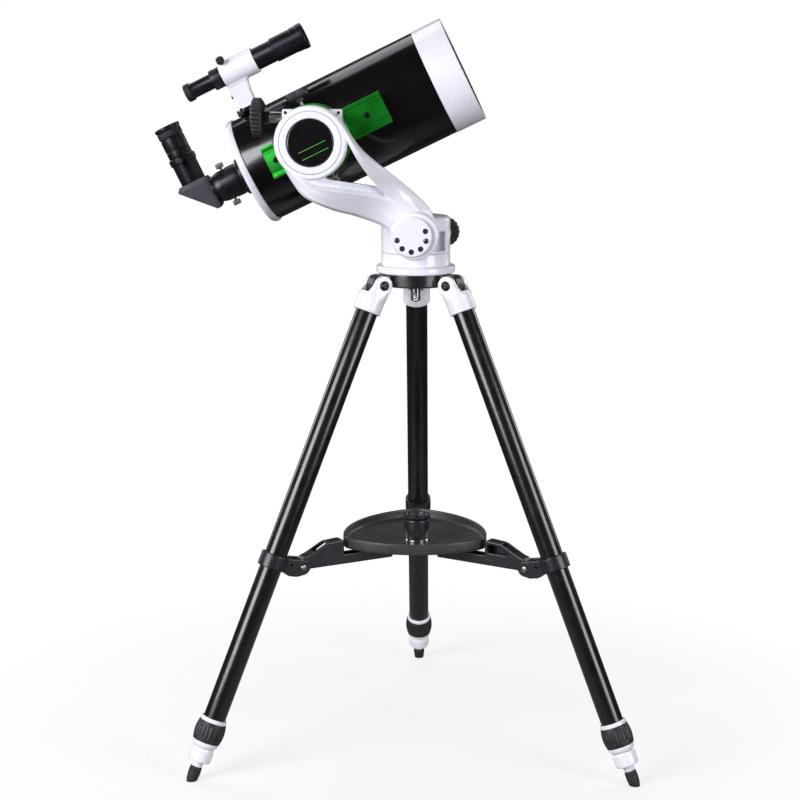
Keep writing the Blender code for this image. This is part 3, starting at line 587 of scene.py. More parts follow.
def leg_socket(side, place):
    """The white casting at the top of a leg: two ears round the hub's lug, flaring into a barrel."""
    name = "leg_socket_" + side
    on_axis = at(place, LEG_AXIS_X)
    body = turned(name, [(0, -12), (17, -12, 2), (18.5, -21, 4), (18.5, -39.5, 1.6), (16.2, -40.1, 0.3),
                         (LEG_BORE, -39.5), (LEG_BORE, -19.5), (0, -19.5)], on_axis, 80)
    flare = loft(name + "_flare", [
        leg_section(12.3, EAR_OUT, 3.0, -1.5, 0.0),
        leg_section(12.7, EAR_OUT, 4.0, -6, 0.4),
        leg_section(14.6, EAR_OUT + 0.1, 8.0, -12, 1.0),
        leg_section(17.4, 18.3, 14.0, -18, 1.7),
        leg_section(18.4, 18.4, 18.3, -23, 2.0)], place)
    ear_outline = arc((0, 0), 12.4, 0, 180, 24) + [(-12.4, -8), (12.4, -8)]
    ears = [slab(f"{name}_ear_{end}", ear_outline, *sorted((end * EAR_IN, end * EAR_OUT)),
                 at(place, along="-Y"), 0.9) for end in (-1, 1)]
    join(body, flare, *ears)
    bore = rod(name + "_bore", LEG_BORE, -60, -19.5, on_axis, 0.01, 64)
    slot = block(name + "_slot", (-40, -EAR_IN, -13.9), (40, EAR_IN, 30), place)
    cut(body, bore, slot)
    cast(body, 0.55, 3)
    hole = rod(name + "_hole", 3.9, -30, 30, at(place, along="Y"), 0.01)
    cut(body, hole)
    return wear(body, "white", "leg_" + side, name, crease=40)


def hinge_bolt(side, place):
    """A black button-head bolt through the ears, with a washer each side and a nut."""
    facing = at(place, along="Y" if side != "right" else "-Y")
    name = "hinge_bolt_" + side
    bolt = turned(name, [(0, 22.2), (4.2, 22.1, 1.2), (5.75, 19.9, 0.5), (5.75, 19.0, 0.2), (6.6, 18.9, 0.15),
                         (6.6, 18.3, 0.15), (3.4, 18.3), (3.4, -18.3), (6.4, -18.3, 0.15), (6.4, -18.9, 0.15),
                         (4.6, -18.9), (4.6, -22.0, 0.5), (0, -22.2)], facing, 48)
    socket = turned(name + "_socket", [(0, 24), (2.4, 24), (2.4, 20.4), (0, 20.0)], facing, 6)
    nut = turned(name + "_nut", [(0, -18.8), (5.6, -18.8, 0.3), (5.6, -21.6, 0.5), (0, -21.6)], facing, 6)
    cut(bolt, socket)
    join(bolt, nut)
    return wear(bolt, "black_steel", "tripod", name)


def twist_lock(side, place):
    """White ring, grooved black barrel and white lower ring, all turning together on the leg."""
    top = at(place, LEG_AXIS_X, 0, LOCK_TOP)
    body = "twist_lock_" + side
    ring = turned(body + "_ring", [(LEG_BORE, 0, 0.2), (16.9, 0, 0.5), (17.7, -1.2, 0.6), (17.9, -5.2, 0.3),
                                   (LEG_BORE, -5.2)], top, 80)
    wear(ring, "white", body)
    steps = 18
    bulge = [(17.8 + 2.6 * math.sin(math.pi * (0.06 + 0.88 * t / steps)) ** 0.9, -5.6 - 27.0 * t / steps)
             for t in range(steps + 1)]
    barrel = turned(body + "_barrel", bulge + [(12.95, -32.6), (12.95, -27), (LEG_BORE, -27), (LEG_BORE, -5.6)], top,
                    240, (20, 0.9, -27.5, -9.0))
    wear(barrel, "grip", body, body)
    lower = turned(body + "_lower", [(12.95, -32.9), (17.7, -32.9, 0.4), (17.6, -35.4, 0.8), (16.9, -37.6, 0.8),
                                     (14.4, -40.6, 0.5), (12.95, -40.6)], top, 80)
    wear(lower, "white", body)


def leg_foot(side, place):
    """The inner leg and its white end holder, and the rubber tip."""
    on_axis = at(place, LEG_AXIS_X)
    body = "foot_" + side
    t = FOOT_TOP
    inner = turned("inner_leg_" + side, [(10.9, -130, 0.3), (12.5, -130, 0.3), (12.5, t + 0.5), (10.9, t + 0.5)],
                   on_axis, 64)
    wear(inner, "chrome", body)
    holder = turned("leg_foot_" + side, [
        (0, t + 0.2), (12.2, t + 0.2, 0.3), (14.2, t, 0.5), (14.6, t - 1.6, 0.4), (15.0, t - 3.4, 0.2),
        (15.6, t - 3.6, 0.3), (15.6, t - 16.8, 1.2), (14.9, t - 18.9, 0.8), (9.6, t - 19.5, 0.8), (8.0, t - 20.6, 0.8),
        (6.9, t - 27.2, 0.6), (0, t - 27.3)], on_axis, 80)
    wear(holder, "white", body, "leg_foot_" + side)
    s = t - 27.4
    ridges = []
    for i in range(2):
        z = s - 3.4 - 2.4 * i
        ridges += [(8.2, z + 0.5, 0.3), (7.8, z, 0.3), (8.3, z - 0.5, 0.3)]
    tip = turned("rubber_tip_" + side, [(0, s), (7.4, s, 0.4), (7.9, s - 1.4, 0.5), *ridges, (8.2, s - 10, 4.0),
                                        (7.3, s - 18, 6.0), (5.6, s - 24, 4.0), (2.6, s - 27, 2.0), (0, s - 27.4)],
                 on_axis, 64)
    floor = block("floor_cut_" + side, (-900, -900, -90), (900, 900, 0.0), Matrix.Identity(4))
    cut(tip, floor)
    tip.data.transform(tip.matrix_world)
    tip.matrix_world = Matrix.Identity(4)
    wear(tip, "rubber", body, "rubber_tip_" + side)


def spreader_clamp(side, place):
    """The clamp band on a leg, with two ears that carry the spreader arm's pin."""
    name = "spreader_clamp_" + side
    on_axis = at(place, LEG_AXIS_X, 0, CLAMP_Z)
    body = turned(name, [(19.0, 9.5, 0.8), (19.0, -9.5, 0.8), (LEG_BORE, -9.5, 0.3), (LEG_BORE, 9.5, 0.3)], on_axis, 96)
    outline = [(-9, CLAMP_Z + 9.2, 1)] + arc((SPREAD_X, SPREAD_Z), 10.5, 95, 232, 16)
    outline += [(-35, CLAMP_Z - 9.6, 10), (-22, CLAMP_Z - 12.4, 16), (-9, CLAMP_Z - 9.2, 4)]
    ears = [slab(f"{name}_ear_{end}", outline, *sorted((end * 9.5, end * 12.5)), at(place, along="-Y"), 0.5)
            for end in (-1, 1)]
    join(body, *ears)
    cut(body, rod(name + "_bore", LEG_BORE, -20, 20, on_axis, 0.01, 96))
    cast(body, 0.6, 3)
    cut(body, rod(name + "_small_hole", 1.9, -30, 30, at(place, -20.0, 0, CLAMP_Z + 2.6, "Y"), 0.01, 32))
    wear(body, "plastic", "leg_" + side, name, crease=45)
    pin = turned(name + "_pin", [(0, 14.6), (3.4, 14.3, 0.8), (4.6, 12.7, 0.3), (2.8, 12.6), (2.8, -12.6),
                                 (4.6, -12.7, 0.3), (4.0, -14.0, 0.5), (0, -14.6)],
                 at(place, SPREAD_X, 0, SPREAD_Z, "Y"), 40)
    wear(pin, "steel", "leg_" + side)


def spreader_arm(side, place, tilt):
    """A moulded arm that rises beside the tray's corner, hollow inside, with a window in one of its walls."""
    name = "spreader_arm_" + side
    pivot = turned_by(at(place, SPREAD_X, 0, SPREAD_Z), tilt, "Y")
    outline = arc((0, 0), 9.2, -153, 90, 20)
    outline += [(-4, 12.6, 3), (-11, 14.8, 5), (-37, 28.3, 6), (-57, 29.8, 3), (-62.9, 29.8, 2.5), (-62.9, 9.3, 0.6),
                (-137.9, 9.3, 1), (-137.9, -4.2, 2.5)]
    body = slab(name, outline, -9, 9, at(pivot, along="-Y"), 1.0)
    window = slab(name + "_window", [(-58.0, 25.3, 2), (-58.0, 13.4, 2), (-21, 13.4, 2.5), (-40, 24.2, 3)], 3, 20,
                  at(pivot, along="-Y"), 0.1)
    cut(body,
        window,
        block(name + "_slope", (-38.5, -6.2, 1.5), (-19, 6.2, 50), pivot),
        block(name + "_hollow", (-58.5, -6.2, 1.5), (-38, 6.2, 25.6), pivot),
        block(name + "_channel", (-131.5, -6.4, 1.5), (-65.4, 6.4, 50), pivot),
        block(name + "_under", (-128, -6.4, -40), (-16, 6.4, -3.0), pivot),
        rod(name + "_hole", 3.1, -20, 20, at(pivot, along="Y"), 0.01))
    ribs = [block(f"{name}_rib_{i}", (x - 0.8, -7, -3.6), (x + 0.8, 7, 7.4), pivot) for i, x in
            enumerate((-112, -92, -72))]
    join(body, *ribs)
    cast(body, 0.65, 2)
    wear(body, "plastic", "spreader_" + side, name, crease=45)


def tripod_hub():
    """The black hub casting with three lugs, on which the mount's base stands."""
    body = turned("tripod_hub", [(7.2, HUB_HIGH, 0.4), (44.5, HUB_HIGH, 1.0), (44.5, HUB_LOW, 1.2), (36, HUB_LOW, 1),
                                 (34, HUB_LOW + 7, 1), (14, HUB_LOW + 7, 1), (12.5, HUB_LOW, 1), (7.2, HUB_LOW, 0.4)],
                  STAND, 128)
    tools, ribs, holes = [], [], []
    for side in SIDES:
        out = place_from(point_of(f"leg_{side}_fold"), axis_of(f"leg_{side}_fold").cross(UP), UP)
        tilt = math.radians(LEG_SPLAY)
        run, drop = math.cos(tilt), math.sin(tilt)
        foot = (13.2 * drop, -13.2 * run)
        outline = [(-33, 14.0, 1)] + arc((0, 0), 13.5, 90, 0, 14)
        outline += [(foot[0] + 9.4 * run, foot[1] + 9.4 * drop, 1.2)]
        outline += arc((0, 0), 13.2, -66.5, -140, 10) + [(-17, HUB_LOW - HINGE_Z, 1), (-33, HUB_LOW - HINGE_Z, 1)]
        tools.append(slab("lug_" + side, outline, -LUG_HALF, LUG_HALF, at(out, along="-Y"), 1.2))
        ribs.append(block("hub_rib_" + side, (-48, -1.5, HUB_LOW - HINGE_Z + 0.2), (-20, 1.5, 8), out))
        holes.append(rod("lug_hole_" + side, 3.7, -20, 20, at(out, along="Y"), 0.01))
    fuse(body, *tools, *ribs)
    cast(body, 0.75, 3)
    cut(body, *holes)
    wear(body, "satin_black", "tripod", "tripod_hub", crease=45)


def centre_bolt():
    """The chromed bolt that draws the mount down, with its sliding bar and ball ends."""
    place = at(STAND, 0, 0, 628)
    body = turned("centre_bolt", [(0, 47), (5.2, 47, 0.6), (6.2, 45.8), (6.2, 17.5), (6.6, 17), (6.6, -2.8, 0.6),
                                  (5.2, -5, 0.8), (0, -5)], place, 64)
    thread = [(6.1, 46)]
    for i in range(26):
        z = 45.4 - i * 1.1
        thread += [(6.55, z), (6.1, z - 0.55)]
    thread += [(6.1, 16.5), (5.0, 16.5), (5.0, 46)]
    join(body, turned("centre_bolt_thread", thread, place, 48))
    groove = turned("centre_bolt_groove", [(6.0, 3.6, 0.3), (8, 3.6), (8, 2.4), (6.0, 2.4, 0.3)], place, 48)
    cut(body, groove)
    bar = turned("bar", [(0, 28), (1.8, 28), (1.8, -12), (0, -12)], at(place, along="-Y"), 24)
    ball = turned("ball", [(3.1 * math.sin(math.pi * i / 12), 3.1 * math.cos(math.pi * i / 12)) for i in range(13)],
                  at(place, 0, -28, 0), 32)
    end = turned("bar_end", [(0, -10.4), (2.6, -10.4, 0.4), (2.6, -12.6, 0.4), (0, -12.6)], at(place, along="-Y"), 32)
    join(body, bar, ball, end)
    wear(body, "chrome", "centre_bolt", "centre_bolt")


def tray_outline(inset, detail=10):
    """Three round corners over the arms, joined by bowed sides that meet them tangentially."""
    corner_r = TRAY_CORNER_R - inset
    side = TRAY_SIDE - inset
    c = TRAY_CORNER
    reach = ((side - corner_r) ** 2 - c * c) / (2 * (c * 0.5 - (side - corner_r)))
    radius = side + reach
    points = []
    for turn in (90.0, 210.0, 330.0):
        start = math.radians(turn)
        corner = (c * math.cos(start), c * math.sin(start))
        middle = math.radians(turn + 60)
        centre = (-reach * math.cos(middle), -reach * math.sin(middle))
        bend = math.degrees(math.atan2(corner[1] - centre[1], corner[0] - centre[0]))
        half = (turn + 60 - bend + 180) % 360 - 180
        points += arc(corner, corner_r, turn - (60 - half), turn + (60 - half), detail)[:-1]
        points += arc(centre, radius, bend, bend + 2 * half, detail * 2)[:-1]
    return points


def accessory_tray():
    """A pressed dish with a rolled rim, a dished floor edge, ribs and a boss below."""
    rear = axis_of("leg_rear_fold")
    yaw = math.degrees(math.atan2(rear.y, rear.x)) - 180.0
    place = turned_by(at(STAND, 0, 0, TRAY_Z), yaw)
    high = TRAY_TOP - TRAY_Z
    wall = [(2.6, 0.0), (1.0, 0.5), (0.3, 1.6), (0.0, 4.0), (0.0, high - 2.2), (0.15, high - 0.9), (0.7, high - 0.15),
            (1.3, high), (1.95, high - 0.3), (2.4, high - 1.1), (2.6, high - 3.0), (3.1, 6.4), (3.9, 4.2), (5.6, 2.9),
            (8.4, 2.4)]
    sections = [[(x, y, z) for x, y in tray_outline(inset)] for inset, z in wall]
    dish = loft("accessory_tray", sections, place)
    boss = turned("tray_boss", [(0, 1), (20, 1), (20, -3, 1), (16, -6, 2), (16, -17.8, 1.2), (9, -17.8, 0.6),
                                (8, -8, 0.6), (0, -8)], place, 64)
    ribs = []
    for i in (0, 2, 4):
        spoke = turned_by(place, 30 + 60 * i)
        ribs.append(block(f"tray_rib_{i}", (12, -1.1, -3.6), (84, 1.1, 0.8), spoke))
    join(dish, boss, *ribs)
    wear(dish, "tray_black", "tray", "accessory_tray", crease=40)
    cross_screw("tray_screw", at(place, 0, 0, 2.6), 4.2, "tray", "steel")


def eyepiece_barrel(name, place, body, base):
    """The chromed 31.7 mm barrel of an eyepiece, undercut for the screw that holds it."""
    barrel = turned(name + "_barrel", [(BARREL_R - 1.3, base, 0.2), (BARREL_R, base, 0.5), (BARREL_R, base + 6.2, 0.3),
                                       (15.3, base + 6.8, 0.3), (15.3, base + 12.2, 0.3), (BARREL_R, base + 12.8, 0.3),
                                       (BARREL_R, base + 20.6), (BARREL_R - 1.3, base + 20.6)], place, 96)
    wear(barrel, "chrome", body)
    return barrel


def spare_eyepiece():
    """The eyepiece that stands in the tray, on the place its CAD piece has in the frame."""
    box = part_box("spare_eyepiece")
    middle = (box[0] + box[1]) / 2
    place = Matrix.Translation((middle.x, middle.y, box[0].z))
    body = "spare_eyepiece"
    eyepiece_barrel("spare", place, body, 0)
    shell = turned("spare_eyepiece_body", [
        (14.2, 20.4), (16.6, 20.4, 0.4), (16.9, 21.2, 0.3), (16.9, 33.4, 0.4), (16.4, 34.6, 0.6), (17.0, 35.6, 0.8),
        (18.6, 37.6, 0.8), (19.0, 39.4, 0.5), (19.0, 40.4, 0.5), (18.2, 41.0, 0.4), (15.2, 41.0, 0.4),
        (14.0, 38.2, 0.5), (10.5, 37.0, 0.3), (10.5, 30), (14.2, 30)], place, 144, (36, 0.5, 22.5, 32.5))
    wear(shell, "plastic", body, "spare_eyepiece")
    lens = turned("spare_eyepiece_lens", [(0, 38.4), (5, 38.1), (8.5, 37.3), (10.4, 36.4), (10.4, 34), (0, 34)], place,
                  64)
    wear(lens, "lens_violet", body)
    field = turned("spare_field_stop", [(0, 3.0), (14.4, 3.0), (14.4, 1.8), (11.5, 1.6, 0.3), (0, 1.6)], place, 64)
    wear(field, "lens_green", body)


def build_tripod():
    tripod_hub()
    centre_bolt()
    tilt = math.degrees(math.acos(min(1.0, LEGS["rear"].col[2].to_3d().dot(UP))))
    for side, place in LEGS.items():
        on_axis = at(place, LEG_AXIS_X)
        tube = turned("leg_tube_" + side, [(LEG_TUBE_R, -20, 0.4), (LEG_TUBE_R, LEG_TUBE_END, 0.3),
                                           (13.4, LEG_TUBE_END), (13.4, -20)], on_axis, 96)
        wear(tube, "leg_black", "leg_" + side, "leg_tube_" + side)
        leg_socket(side, place)
        hinge_bolt(side, place)
        twist_lock(side, place)
        leg_foot(side, place)
        spreader_clamp(side, place)
        spreader_arm(side, place, tilt)
    accessory_tray()
    spare_eyepiece()


# ---------------------------------------------------------------- mount


def mount_base():
    """The flanged base that stands on the hub and carries the head's axle."""
    body = turned("mount_base", [
        (0, 716, 1), (12, 716, 0.8), (12, SEAM_Z - 0.3), (DRUM_R - 0.5, SEAM_Z - 0.3, 0.4), (DRUM_R, SEAM_Z - 1.0, 0.3),
        (DRUM_R, 673.4, 1.6), (50.8, 672.7, 0.6), (53.3, 671.6, 1.1), (53.3, 664.2, 1.2), (52.0, 662.8, 0.4),
        (7.2, 662.8, 0.4), (7.2, 681), (0, 681)], STAND, 144)
    wear(body, "white", "tripod", "mount_base")


def azimuth_head():
    """The white head: a drum with a recess for the worm, the arm's boss and the worm's bearing."""
    body = turned("azimuth_head", [
        (0, HEAD_TOP + 2.2), (30, HEAD_TOP + 1.7, 6), (DRUM_R - 3.0, HEAD_TOP, 3), (DRUM_R, HEAD_TOP - 3.0, 2),
        (DRUM_R, SEAM_Z, 0.8), (12.3, SEAM_Z, 0.3), (12.3, 717), (0, 717)], HEAD, 144)
    across = at(HEAD, PIVOT_X, 0, PIVOT_Z, "-Y")
    boss = rod("arm_boss", 24, 20, -HUB_BACK - 0.4, across, 1.0, 96)
    axle = rod("arm_axle", 12, 40, 74, across, 0.8, 64)
    worm = rod("worm_housing", 9.4, -14, 44, at(HEAD, 37.3, 0, 712, "Y"), 1.2, 64)
    join(body, boss, axle, worm)
    cut(body,
        block("head_recess", (26, -60, 693.4), (40, -16, 720), HEAD),
        rod("worm_hole", 5.2, 26, 50, at(HEAD, 37.3, 0, 712, "Y"), 0.01))
    cast(body, 0.75, 2)
    step = turned("head_step", [(DRUM_R - 0.35, 727.6), (60, 727.6), (60, 726.9), (DRUM_R - 0.35, 726.9)], HEAD, 144)
    cut(body, step)
    wear(body, "white", "azimuth_head", "azimuth_head", crease=40)
    wheel = turned("worm_wheel", [(14, 718, 0.4), (27, 718, 0.6), (27, 696, 0.6), (14, 696, 0.4)], HEAD, 240,
                   (60, 0.9, 690, 720))
    wear(wheel, "steel", "azimuth_head")

    knob = at(HEAD, 37.3, 0, 712, "Y")
    wheel = turned("azimuth_knob", [
        (0, 63.2), (8, 63.2, 0.5), (9, 64, 0.4), (17.5, 64, 1), (20.6, 62.2, 1.2), (20.6, 57), (20.6, 52.0, 1.2),
        (18.5, 50, 1), (8.5, 50, 1), (7.5, 46.2, 1), (4.7, 46.0), (4.7, 28.2), (0, 28.2)], knob, 240,
        (20, 1.1, 50.4, 63.4))
    wear(wheel, "grip", "azimuth_knob", "azimuth_knob", crease=50)
    cap_screw("azimuth_knob_screw", at(knob, 0, 0, 63.0), 2.6, 1.6, 1.2, 4, "azimuth_knob", "steel")


def lean(x, z):
    """How far a point of the arm has moved from the hub's plane out to the ring's, 0 to 1."""
    t = (math.hypot(x - PIVOT_X, z - PIVOT_Z) - 40) / 104
    t = min(max(t, 0), 1)
    return t * t * (3 - 2 * t)


def front_y(x, z):
    return HUB_FRONT + lean(x, z) * (RING_FRONT - HUB_FRONT)


def back_y(x, z):
    return HUB_BACK + lean(x, z) * (RING_BACK - HUB_BACK) - 1.0


def smooth_line(points, count):
    """Evenly spaced points on a smooth line through the given ones."""
    fine = []
    padded = [points[0], *points, points[-1]]
    for i in range(1, len(padded) - 2):
        a, b, c, d = (Vector(p) for p in padded[i - 1 : i + 3])
        for k in range(12):
            t = k / 12
            fine.append(0.5 * (2 * b + (c - a) * t + (2 * a - 5 * b + 4 * c - d) * t**2
                               + (3 * b - a - 3 * c + d) * t**3))
    fine.append(Vector(points[-1]))
    lengths = [0.0]
    for one, two in zip(fine, fine[1:]):
        lengths.append(lengths[-1] + (two - one).length)
    made = []
    for k in range(count):
        goal = lengths[-1] * k / (count - 1)
        i = max(j for j, length in enumerate(lengths) if length <= goal + 1e-9)
        i = min(i, len(fine) - 2)
        span = lengths[i + 1] - lengths[i]
        made.append(fine[i].lerp(fine[i + 1], (goal - lengths[i]) / span if span > 0 else 0))
    return made


def lower_branch(count=44):
    """The thick curved branch: a web above, a ledge, and a rounded front face below the ridge."""
    edge = smooth_line([(-120, 815), (-112, 797), (-90.8, 791.1), (-64.8, 786.2), (-43.7, 781.2), (-28, 775),
                        (-14, 762), (-2, 748)], count)
    ridge = smooth_line([(-150, 800), (-136, 786.5), (-112, 781), (-84.9, 776.8), (-65.3, 773.5), (-49, 770.2),
                         (-31.1, 764.4), (-16.5, 755.9), (-5.9, 748)], count)
    bottom = smooth_line([(-168, 838), (-164, 812), (-150, 787), (-136, 771), (-104.1, 754.7), (-79.6, 746.2),
                          (-60, 738.6), (-40.4, 730.1), (-33.9, 724.9), (-28.6, 714)], count)
    sections = []
    for i, (t, r, b) in enumerate(zip(edge, ridge, bottom)):
        share = i / (count - 1)
        web = 13.0 * min(1, 4 * (1 - share)) * min(1, 3.5 * share + 0.15)
        foot = t.lerp(r, 0.62)
        ledge = r.lerp(t, 0.12)
        low = r.lerp(b, 0.55)
        loop = [(t, back_y(*t)), (t, front_y(*t) + web + 1.0), (foot, front_y(*foot) + web), (ledge, front_y(*ledge)),
                (r, front_y(*r) - 0.3), (low, front_y(*low) + 1.0), (b.lerp(r, 0.12), front_y(*b) + 5.0),
                (b, front_y(*b) + 11.0), (b, back_y(*b) + 1), (low, back_y(*low))]
        sections.append([(p.x, y, p.y) for p, y in loop])
    return loft("lower_branch", sections, HEAD)


def upper_branch(count=36):
    """The slimmer straight branch: a front facet beside the opening and a sloped one outside the ridge."""
    outer = smooth_line([(-92, 878), (-86.7, 866), (-66.1, 835), (-37.9, 807.9), (-17.2, 789.7), (0.4, 773.8),
                         (13.3, 761.2), (22.4, 750), (28.5, 736), (32.5, 722)], count)
    ridge = smooth_line([(-94, 872), (-84.5, 859), (-69.5, 832.5), (-57.2, 814.5), (-41.6, 794.6), (-25.8, 774.5),
                         (-14.7, 761), (-5.9, 750.5), (2, 740)], count)
    inner = smooth_line([(-96, 864), (-81.5, 843), (-68.4, 817.8), (-56.2, 797.9), (-43.7, 781.2), (-34, 770),
                         (-24, 756), (-16, 742)], count)
    sections = []
    for o, r, n in zip(outer, ridge, inner):
        deep = 9.0
        mid = r.lerp(o, 0.5)
        loop = [(n, back_y(*n)), (n, front_y(*n) + 4.0), (n.lerp(r, 0.2), front_y(*n) + 2.2), (r, front_y(*r) + 0.6),
                (mid, front_y(*mid) + deep * 0.6), (o, front_y(*o) + deep * 1.7), (o, back_y(*o) - 1.5),
                (o.lerp(r, 0.3), back_y(*o))]
        sections.append([(p.x, y, p.y) for p, y in loop])
    return loft("upper_branch", sections, HEAD)


def arm():
    across = at(HEAD, ALT_X, 0, ALT_Z, "-Y")
    hub_place = at(HEAD, 2.0, 0, PIVOT_Z, "-Y")
    body = turned("arm", [(0, -HUB_FRONT), (31.4, -HUB_FRONT, 3.5), (31.8, -HUB_BACK, 1.5), (0, -HUB_BACK)], hub_place,
                  96)
    ring = turned("arm_ring", [(0, -RING_FRONT), (RING_R - 1.5, -RING_FRONT, 2.2), (RING_R, -RING_FRONT - 6, 3),
                               (RING_R, -RING_BACK, 1), (0, -RING_BACK)], across, 128)
    fuse(body, ring, lower_branch(), upper_branch())
    cast(body, 0.9, 4)
    cut(body, rod("hub_bore", 12.3, 40, 75, at(HEAD, PIVOT_X, 0, PIVOT_Z, "-Y"), 0.01, 64))
    cut(body, turned("ring_bore", [(0, 150), (CAP_R + 0.45, 150), (CAP_R + 0.45, 100), (0, 100)], across, 160))
    wear(body, "white", "arm", "arm", crease=50)

    cap = turned("altitude_cap", [(0, 132.4), (BADGE_R + 0.7, 132.4), (BADGE_R + 0.7, 136.0, 0.4),
                                  (BADGE_R + 1.4, 136.9, 0.4), (CAP_R - 0.9, 136.9, 0.7), (CAP_R, 136.0, 0.5),
                                  (CAP_R, 113), (0, 113)], across, 160)
    wear(cap, "white", "arm", "altitude_cap")
    badge = turned("cap_badge", [(0, 136.6), (BADGE_R - 4, 136.4), (BADGE_R - 1.2, 135.9, 0.6), (BADGE_R, 135.0, 0.4),
                                 (BADGE_R, 132.8), (0, 132.8)], across, 160)
    wear(badge, "gloss", "arm", "cap_badge")
    trim = turned("badge_trim", [(BADGE_R + 0.1, 134.6, 0.2), (BADGE_R + 0.6, 134.6, 0.2), (BADGE_R + 0.6, 133),
                                 (BADGE_R + 0.1, 133)], across, 160)
    wear(trim, "chrome", "arm")
    for i, (length, drop) in enumerate(((38, -5.5), (37, -15.5))):
        line = turned_by(across, 25.87)
        strip = slab(f"badge_line_{i}", [(-length / 2, drop - 0.35), (length / 2, drop - 0.35),
                                         (length / 2, drop + 0.35), (-length / 2, drop + 0.35)], 136.35, 136.75, line,
                                         0.1)
        wear(strip, "green_line", "arm")


def pivot_disc():
    """The end disc with its arc of six tilt holes, two of them holding bolts, and a dark grey disc of painted shade at
    the bottom of each hole.
    """
    across = at(HEAD, PIVOT_X, 0, PIVOT_Z, "-Y")
    disc = turned("pivot_disc", [(0, 86.3), (25.0, 86.3, 1.2), (26.6, 84.8, 0.8), (26.6, 80.3), (0, 80.3)], across, 128)
    tools = []
    for i, turn in enumerate(TILT_HOLES):
        x = TILT_RING_R * math.cos(math.radians(turn))
        y = TILT_RING_R * math.sin(math.radians(turn))
        hole = at(across, x, y, 0)
        tools.append(turned(f"tilt_hole_{i}", [(0, 90), (4.3, 90), (3.7, 85.7), (3.7, 81.0), (0, 81.0)], hole, 40))
        if i in TILT_BOLTS:
            cap_screw(f"tilt_bolt_{i}", at(hole, 0, 0, 82.6), 2.5, 3.1, 1.5, 3, "arm", "chrome")
        # The dark grey disc laid at the bottom of each hole is painted shade: it stands in for the shadow inside the
        # hole in the white casting.
        floor = turned(f"tilt_hole_shade_{i}", [(0, 82.0), (3.6, 82.0), (3.6, 81.1), (0, 81.1)], hole, 32)
        wear(floor, "prism_grey", "arm")
    cut(disc, *tools)
    wear(disc, "white", "arm", "pivot_disc")


def altitude_head():
    """The worm housing behind the ring, its shaft, collar and slow-motion knob."""
    across = at(HEAD, ALT_X, 0, ALT_Z, "-Y")
    outline = [(38.2, 41.4, 1.5), (-38.2, 41.4, 1.5)] + arc((0, 0), 38.2, 180, 360, 40)
    housing = slab("altitude_housing", outline, 91, 110, across, 0.9)
    shaft = at(HEAD, ALT_X, -100.6, ALT_Z + 31, "-X")
    cut(housing, rod("altitude_bore", 14.5, 80, 120, across, 0.01, 64),
        turned("worm_hole", [(0, 50), (5.3, 50), (5.3, 18), (0, 18)], shaft, 40))
    wear(housing, "white", "arm", "altitude_housing")
    for i, (x, z) in enumerate(((-34, 37.2), (34, 37.2))):
        cap_screw(f"housing_screw_{i}", at(across, x, z, 110.0), 1.9, 0.7, 1.0, 4, "arm", "black_steel")
    for i, x in enumerate((-20, 20)):
        cross_screw(f"housing_top_screw_{i}", at(HEAD, ALT_X + x, -100.6, ALT_Z + 41.4), 2.2, "arm", "steel")

    collar = turned("altitude_shaft", [
        (0, 63.4), (6.4, 63.4), (7.6, 63.0, 0.6), (7.6, 54.6, 0.4), (7.2, 54.2), (7.2, 39.2, 0.8), (4.8, 38.8),
        (4.8, 20), (0, 20)], shaft, 64)
    wear(collar, "steel", "altitude_knob", "altitude_shaft")
    sleeve = turned("altitude_sleeve", [(7.75, 63.3, 0.4), (9.4, 63.3, 0.6), (8.9, 54.8, 0.6), (7.75, 54.8, 0.3)],
                    shaft, 64)
    wear(sleeve, "plastic", "altitude_knob")
    knob = turned("altitude_knob", [
        (0, 76.6), (7, 76.6, 0.5), (8, 78.0, 0.5), (20.5, 78.0, 1.6), (24.8, 75.8, 1.4), (24.8, 73.4), (24.8, 68.6),
        (24.8, 66.2, 1.4), (20.5, 63.9, 1.6), (0, 63.9)], shaft, 288, (24, 1.7, 64.4, 77.6))
    wear(knob, "grip", "altitude_knob", "altitude_knob", crease=50)
    hub_cap = turned("altitude_knob_cap", [(0, 77.6), (5.5, 77.4, 0.8), (6.4, 76.4, 0.3), (0, 76.2)], shaft, 48)
    wear(hub_cap, "plastic", "altitude_knob")


